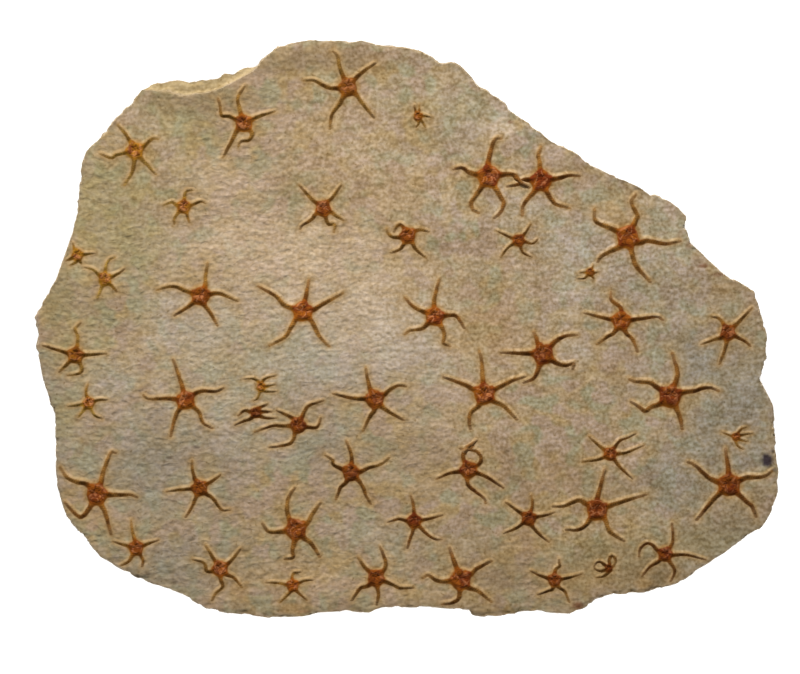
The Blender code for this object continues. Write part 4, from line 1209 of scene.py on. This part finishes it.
def fossilMaterial():
    material = newMaterial("rustyFossil")
    tree = material.node_tree
    look = fossilLook
    stoneFace = stoneGrain(tree, stoneColour(tree))
    # arms: brown with paler joints, uneven along their length, and redder at the disc
    redness = readAttribute(tree, "redness")
    redShare = remap(tree, redness, 0.0, 0.5)
    arm = mixColours(tree, redness, look["armGold"], look["armRed"])
    joints = mixColours(tree, readAttribute(tree, "plate"), (1, 1, 1, 1), look["armJoint"])
    arm = mixColours(tree, 1.0, arm, joints, "MULTIPLY")
    root = mixColours(tree, redShare, look["rootGold"], look["rootRed"])
    arm = mixColours(tree, readAttribute(tree, "armRoot"), arm, root)
    uneven = remap(tree, grainNoise(tree, 6.5, detail=2.0, shift=(5, 9, 0)), 0.36, 0.64)
    uneven = mixColours(tree, uneven, look["armDim"], look["armBright"])
    arm = mixColours(tree, 1.0, arm, uneven, "MULTIPLY")
    broad = remap(tree, grainNoise(tree, 27.0, detail=0.0, shift=(7, 2, 0)), 0.36, 0.64)
    broad = mixColours(tree, broad, look["broadDim"], look["broadBright"])
    arm = mixColours(tree, 1.0, arm, broad, "MULTIPLY")
    # disc: broad red patches, soft dark lines, and pale winding lines that are painted highlights
    ground = mixColours(tree, redShare, look["discGold"], look["discOrange"])
    patch = mixColours(tree, redness, look["discBrown"], look["discRed"])
    patchShare = remap(tree, grainNoise(tree, 8.5, shift=(8, 3, 0)), 0.44, 0.58)
    disc = mixColours(tree, patchShare, ground, patch)
    onDisc = readAttribute(tree, "discLines")
    paintedHighlights = windingLines(tree, grainNoise(tree, 7.5, detail=0.0, shift=(1, 4, 0), distortion=0.6), 0.1)
    paintedHighlights = combine(tree, "MULTIPLY", combine(tree, "MULTIPLY", paintedHighlights, onDisc), look["paintedHighlightShare"])
    disc = mixColours(tree, paintedHighlights, disc, look["discPaintedHighlight"])
    lines = windingLines(tree, grainNoise(tree, 7.5, detail=0.0, shift=(3, 8, 0), distortion=0.7), 0.1)
    lines = combine(tree, "MULTIPLY", combine(tree, "MULTIPLY", lines, onDisc), look["lineShare"])
    # the seams, mouth and rays darkened too: partly the fossil's own red, partly painted shade
    lines = combine(tree, "MAXIMUM", lines, readAttribute(tree, "grooveRedAndShade"))
    disc = mixColours(tree, lines, disc, look["grooveRedAndShade"])
    body = mixColours(tree, readAttribute(tree, "disc"), arm, disc)
    depth = mixColours(tree, readAttribute(tree, "depth"), look["pale"], look["deep"])
    body = mixColours(tree, 1.0, body, depth, "MULTIPLY")
    colour = mixColours(tree, readAttribute(tree, "body"), stoneFace, body)
    finishShader(material, colour, stoneRelief(tree), look)
    return material


def shapeLimbs(number, out, nearest, flat):
    # one row for the disc and one for each arm, with what each would be alone at every place;
    # beside them the arms' plates and ridges, and how near to a tip a place is
    radius = starfish[number][1]
    style = fossil
    hub = np.maximum(out, 0.3 * radius)
    toNearest = np.min([found[0] for found in nearest], axis=0)
    corner = style["discCorner"] * hump(toNearest / (style["cornerWidth"] * hub))
    discHalf = (style["discShare"] + corner) * radius
    discRise = style["discRiseBase"] + style["discRiseShare"] * radius
    uneven = 1 + style["unevenness"] * noiseAt(flat, style["unevenGrain"], 41.5)
    bankRoot = style["bankBase"] + style["bankShare"] * radius
    limbs = {
        "gap": [out - discHalf],  # outside its core
        "inner": [style["discInner"] * discHalf],  # from the core's side to its crest
        "rise": [np.full(len(out), discRise)],
        "bank": [np.full(len(out), bankRoot)],  # width of the stone that slopes down beside it
        "lift": [np.zeros(len(out))],
    }
    plate = np.zeros(len(out))
    ridge = np.zeros(len(out))
    tip = np.zeros(len(out))
    for gap, along, length, lift in nearest:
        share = np.clip((along - radius) / max(length - radius, 1.0), 0.0, 1.0)
        half = armHalf(radius, share) * style["thickArms"].get(number + 1, 1.0)
        rise = style["armRiseBase"] + style["armRiseShare"] * radius
        rise = rise * (1 - style["armRiseTaper"] * share)
        bank = bankRoot * (1 - style["bankTaper"] * share)
        limbs["gap"].append(gap - half)
        limbs["inner"].append(half)
        limbs["rise"].append(rise * uneven * (1 - style["tipDrop"] * ease(0.9, 1.0, share)))
        limbs["bank"].append(bank * (1 - style["liftedBank"] * ease(0.1, 0.9, lift)))
        limbs["lift"].append(lift)
        turns = along / style["plateLength"] + 0.5 * ease(0.3, 0.7, gap / half)
        plate = np.where(gap < half * 1.6, 0.5 + 0.5 * np.cos(2 * math.pi * turns), plate)
        tip = np.where(gap < half * 2.5, ease(0.55, 1.0, share), tip)
        outside = ease(radius * 0.2, radius * 0.45, along)
        ridge = np.maximum(ridge, hump(gap / (0.75 * half)) * outside)
    return limbs, plate, ridge, tip


def joinLimbs(limbs, join):
    # a rounded join of the disc and the arms
    gaps = np.array(limbs["gap"])
    weights = np.exp(-(gaps - gaps.min(axis=0)) / join)
    total = weights.sum(axis=0)
    gap = gaps.min(axis=0) - join * 0.6 * np.log(total)
    weights = weights / total
    parts = ("inner", "rise", "bank", "lift")
    return gap, *(np.sum(weights * np.array(limbs[part]), axis=0) for part in parts)


def fossilForm(points, number):
    # heights over the stone's face, and masks, at places round one fossil; all in millimetres
    centre, radius, _ = starfish[number]
    style = fossil
    out = np.linalg.norm(points - np.array(centre, float), axis=1)
    nearest = [nearestOnRoute(points, route) for route in routes[number]]
    ordered = np.sort(np.array([found[0] for found in nearest]), axis=0)
    flat = np.column_stack((points, np.zeros(len(points))))
    limbs, plate, ridge, tip = shapeLimbs(number, out, nearest, flat)
    gap, inner, rise, bank, lift = joinLimbs(limbs, style["fillet"] * radius)
    across = (gap + inner) / (inner + bank)
    crown = hump(np.clip(across, 0.0, 1.0))
    height = rise * crown + lift * hump(np.clip(gap / bank, 0.0, 1.0))
    height += style["plateRise"] * (2 * plate - 1) * crown
    height -= style["sink"] * ease(1.0, 1.45, across)

    # inside the disc: a hollow with lumps, the arms' ridges, the seams between them and the mouth
    height -= style["dish"] * radius * (1 - ease(radius * 0.08, radius * 0.68, out))
    lumps = style["lumps"] * noiseAt(flat, (3.2, 3.2, 1), 43.5)
    height += lumps * (1 - ease(radius * 0.6, radius * 1.0, out))
    height += style["ridgeRise"] * ridge * (1 - ease(radius * 0.7, radius * 1.2, out))
    apart = ordered[1] - ordered[0]
    seam = (1 - ease(0.15, 0.9, apart)) * ease(radius * 0.14, radius * 0.24, out)
    seam = seam * (1 - ease(radius * 0.45, radius * 0.75, out))
    ray = (1 - ease(0.1, 0.45, ordered[0])) * ease(radius * 0.3, radius * 0.4, out)
    ray = ray * (1 - ease(radius * 0.6, radius * 0.85, out))
    mouth = 1 - ease(radius * 0.04, radius * 0.2, out)
    height -= style["seamDepth"] * seam + style["mouthDepth"] * mouth + style["rayDepth"] * ray

    # the disc's red runs a little way out along the arms, with a ragged end
    toArm = hump(ordered[0] / (0.55 * np.maximum(out, 0.3 * radius)))
    redEnd = radius * (0.95 + 0.22 * toArm + 0.13 * noiseAt(flat, (2.4, 2.4, 1), 47.5))
    inDisc = 1 - ease(redEnd - 0.16 * radius, redEnd + 0.16 * radius, out)
    return {
        "height": height,
        "disc": inDisc,
        "armRoot": 1 - ease(radius * 0.9, radius * 1.9, out),
        # the seams, mouth and rays, to be painted dark red: partly the fossil's colour, partly painted
        # shade in these hollows
        "grooveRedAndShade": np.clip(np.maximum(0.5 * seam, 0.5 * mouth) + 0.3 * ray, 0.0, 1.0),
        "discLines": 1 - ease(radius * 0.75, radius * 1.05, out),
        "plate": plate * (1 - inDisc),
        "gap": gap,
        "fade": style["tipFade"] * tip,
        "lifted": ease(0.1, 0.8, lift),
    }


def stainForm(points, number, still):
    # the brown core: the disc, and each arm a little off its crest towards the shaded side, which adds
    # painted shade to the stain, or the whole of a lifted arm
    form = fossilForm(points + (0, fossil["shadeSideStainShift"]), number)
    flat = np.column_stack((points, np.zeros(len(points))))
    ragged = 0.36 * noiseAt(flat, (2.6, 2.6, 1), 45.5)
    edge = fossil["stainEdge"] + 0.8 * form["lifted"]
    softness = fossil["stainSoftness"] + 0.5 * form["lifted"]
    arms = (1 - ease(0.0, softness, form["gap"] + ragged - edge)) * (1 - form["fade"])
    return np.maximum(arms, still["disc"] * (1 - ease(-0.5, 0.7, still["gap"] + ragged)))


def placesOf(patch):
    # x and y of a patch's points in millimetres
    return np.array([(vert.co.x, vert.co.y) for vert in patch.verts]) / mm


def coarsePatch(centre, radius, reach, lines):
    # cells near the fossil only, cut small enough for its plates
    count = int(2 * reach / fossil["coarseCell"]) + 1
    half = count * fossil["coarseCell"] / 2 * mm
    patch = bmesh.new()
    bmesh.ops.create_grid(patch, x_segments=count, y_segments=count, size=half)
    bmesh.ops.translate(patch, verts=patch.verts, vec=(centre[0] * mm, centre[1] * mm, 0))
    shares = (fossil["bankShare"] + fossil["armShare"]) * radius
    limit = fossil["bankBase"] + fossil["armBase"] + shares + fossil["cutMargin"]
    places = placesOf(patch)
    gaps = np.min([nearestOnRoute(places, line)[0] for line in lines], axis=0)
    gaps = np.minimum(gaps, np.linalg.norm(places - np.array(centre, float), axis=1) - radius * 1.2)
    far = [vert for vert, gap in zip(patch.verts, gaps) if gap > limit]
    bmesh.ops.delete(patch, geom=far, context="VERTS")
    bmesh.ops.subdivide_edges(patch, edges=patch.edges, cuts=fossil["cuts"], use_grid_fill=True)
    return patch


def closeBelow(patch):
    # a skirt down into the stone, closed by one flat face
    rim = [edge for edge in patch.edges if edge.is_boundary]
    floorLevel = min(vert.co.z for edge in rim for vert in edge.verts) - fossil["skirt"] * mm
    made = bmesh.ops.extrude_edge_only(patch, edges=rim)["geom"]
    for vert in [item for item in made if isinstance(item, bmesh.types.BMVert)]:
        vert.co.z = floorLevel
    edges = [item for item in made if isinstance(item, bmesh.types.BMEdge)]
    low = [edge for edge in edges if edge.is_boundary]
    bmesh.ops.holes_fill(patch, edges=low, sides=0)
    bmesh.ops.recalc_face_normals(patch, faces=patch.faces)


def buildFossil(number, stoneTree, material):
    # a fine patch laid on the stone, raised to the fossil's form and cut off where its banks end
    centre, radius, _ = starfish[number]
    lines = routes[number]
    farthest = max(np.abs(line[:, :2] - np.array(centre, float)).max() for line in lines)
    patch = coarsePatch(centre, radius, farthest + fossil["patchMargin"], lines)
    form = fossilForm(placesOf(patch), number)
    sunk = -fossil["sink"] * fossil["sunkShare"]
    unwanted = []
    for vert, height in zip(patch.verts, form["height"]):
        hit = stoneTree.ray_cast((vert.co.x, vert.co.y, 100 * mm), (0, 0, -1))[0]
        if hit is None or hit.z < fossil["lowestGround"] * mm or height < sunk:
            unwanted.append(vert)
        else:
            vert.co.z = min(hit.z + height * mm, cadHigh.z)
    bmesh.ops.delete(patch, geom=unwanted, context="VERTS")
    loose = [vert for vert in patch.verts if not vert.link_faces]
    bmesh.ops.delete(patch, geom=loose, context="VERTS")
    closeBelow(patch)
    form = fossilForm(placesOf(patch), number)
    form["body"] = stainForm(placesOf(patch), number, form)
    name = f"starfish{number + 1:02d}"
    mesh = bpy.data.meshes.new(name)
    patch.to_mesh(mesh)
    patch.free()
    mesh.shade_smooth()
    points = readPoints(mesh)
    setAttribute(mesh, "wrinkle", wrinkleStrength(points))
    for part in ("body", "disc", "armRoot", "grooveRedAndShade", "discLines", "plate"):
        setAttribute(mesh, part, form[part])
    redness, depth = shades.get(number + 1, plainShade)
    setAttribute(mesh, "redness", np.full(len(points), redness))
    setAttribute(mesh, "depth", np.full(len(points), depth))
    paintMarks(mesh, points)
    mesh.materials.append(material)
    piece = bpy.data.objects.new(name, mesh)
    bpy.context.scene.collection.objects.link(piece)
    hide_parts(f"starfish_{number + 1:02d}")
    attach(piece, "root")
    return len(mesh.polygons)


def buildFossils(slabPiece):
    stoneTree = BVHTree.FromObject(slabPiece, bpy.context.evaluated_depsgraph_get())
    material = fossilMaterial()
    total = sum(buildFossil(number, stoneTree, material) for number in range(len(starfish)))
    print("fossils:", total, "cells")


# the floor, the lights and the camera, in metres, degrees and watts
studio = {
    "floorSize": 6.0,
    "floorColour": (0.93, 0.93, 0.93, 1),
    "floorRoughness": 0.9,
    "keyHeight": 31.0,  # above the horizon
    "keyTurn": 8.0,
    "keyDistance": 4.2,
    "keySize": 0.45,
    "keyPower": 269.0,
    "keyColour": (1.0, 0.985, 0.95),
    "worldStrength": 0.28,
    "topSize": 3.0,
    "topHeight": 3.0,
    "topPower": 240.0,
    "faceHeight": 0.03,
    "viewWidth": 0.6388,  # at the height of the slab's face
    "viewCentre": (-0.0048, -0.0068),
    "viewDistance": 8.0,
    "viewEnd": 50.0,
    "sensor": 36.0,
}


def buildFloor():
    shape = bmesh.new()
    bmesh.ops.create_grid(shape, x_segments=1, y_segments=1, size=studio["floorSize"] / 2)
    mesh = bpy.data.meshes.new("floor")
    shape.to_mesh(mesh)
    shape.free()
    floor = bpy.data.objects.new("floor", mesh)
    bpy.context.scene.collection.objects.link(floor)
    material = bpy.data.materials.new("whiteFloor")
    material.use_nodes = True
    shader = material.node_tree.nodes["Principled BSDF"]
    shader.inputs["Base Color"].default_value = studio["floorColour"]
    shader.inputs["Roughness"].default_value = studio["floorRoughness"]
    shader.inputs["Specular IOR Level"].default_value = 0.0
    mesh.materials.append(material)
    return floor


def lightGroup(name, members):
    group = bpy.data.collections.new(name)
    for member in members:
        group.objects.link(member)
    return group


def buildLights(floor):
    # the low key light is for the slab alone, so that its long shadow stays off the floor
    scene = bpy.context.scene
    world = bpy.data.worlds.new("studio")
    scene.world = world
    world.use_nodes = True
    sky = world.node_tree.nodes["Background"]
    sky.inputs["Color"].default_value = (1, 1, 1, 1)
    sky.inputs["Strength"].default_value = studio["worldStrength"]

    keyLight = bpy.data.lights.new("key", "AREA")
    keyLight.shape = "DISK"
    keyLight.size = studio["keySize"]
    keyLight.energy = studio["keyPower"]
    keyLight.color = studio["keyColour"]
    key = bpy.data.objects.new("key", keyLight)
    tilt = math.radians(-(90 - studio["keyHeight"]))
    key.rotation_euler = (tilt, 0, math.radians(studio["keyTurn"]))
    key.location = key.rotation_euler.to_matrix() @ Vector((0, 0, studio["keyDistance"]))
    scene.collection.objects.link(key)
    shown = [thing for thing in scene.objects if thing.type == "MESH" and thing is not floor]
    key.light_linking.receiver_collection = lightGroup("litByKey", shown)

    topLight = bpy.data.lights.new("top", "AREA")
    topLight.size = studio["topSize"]
    topLight.energy = studio["topPower"]
    top = bpy.data.objects.new("top", topLight)
    top.location = (0, 0, studio["topHeight"])
    scene.collection.objects.link(top)
    top.light_linking.receiver_collection = lightGroup("litByTop", [floor])


def buildCamera():
    data = bpy.data.cameras.new("camera")
    data.sensor_width = studio["sensor"]
    data.lens = studio["sensor"] * studio["viewDistance"] / studio["viewWidth"]
    data.clip_end = studio["viewEnd"]
    camera = bpy.data.objects.new("camera", data)
    x, y = studio["viewCentre"]
    camera.location = (x, y, studio["faceHeight"] + studio["viewDistance"])
    bpy.context.scene.collection.objects.link(camera)
    bpy.context.scene.camera = camera


slabPiece = buildStone()
buildFossils(slabPiece)
floorPiece = buildFloor()
buildLights(floorPiece)
buildCamera()
bpy.context.scene.view_settings.view_transform = "Standard"
print("studio: floor, lights and camera")
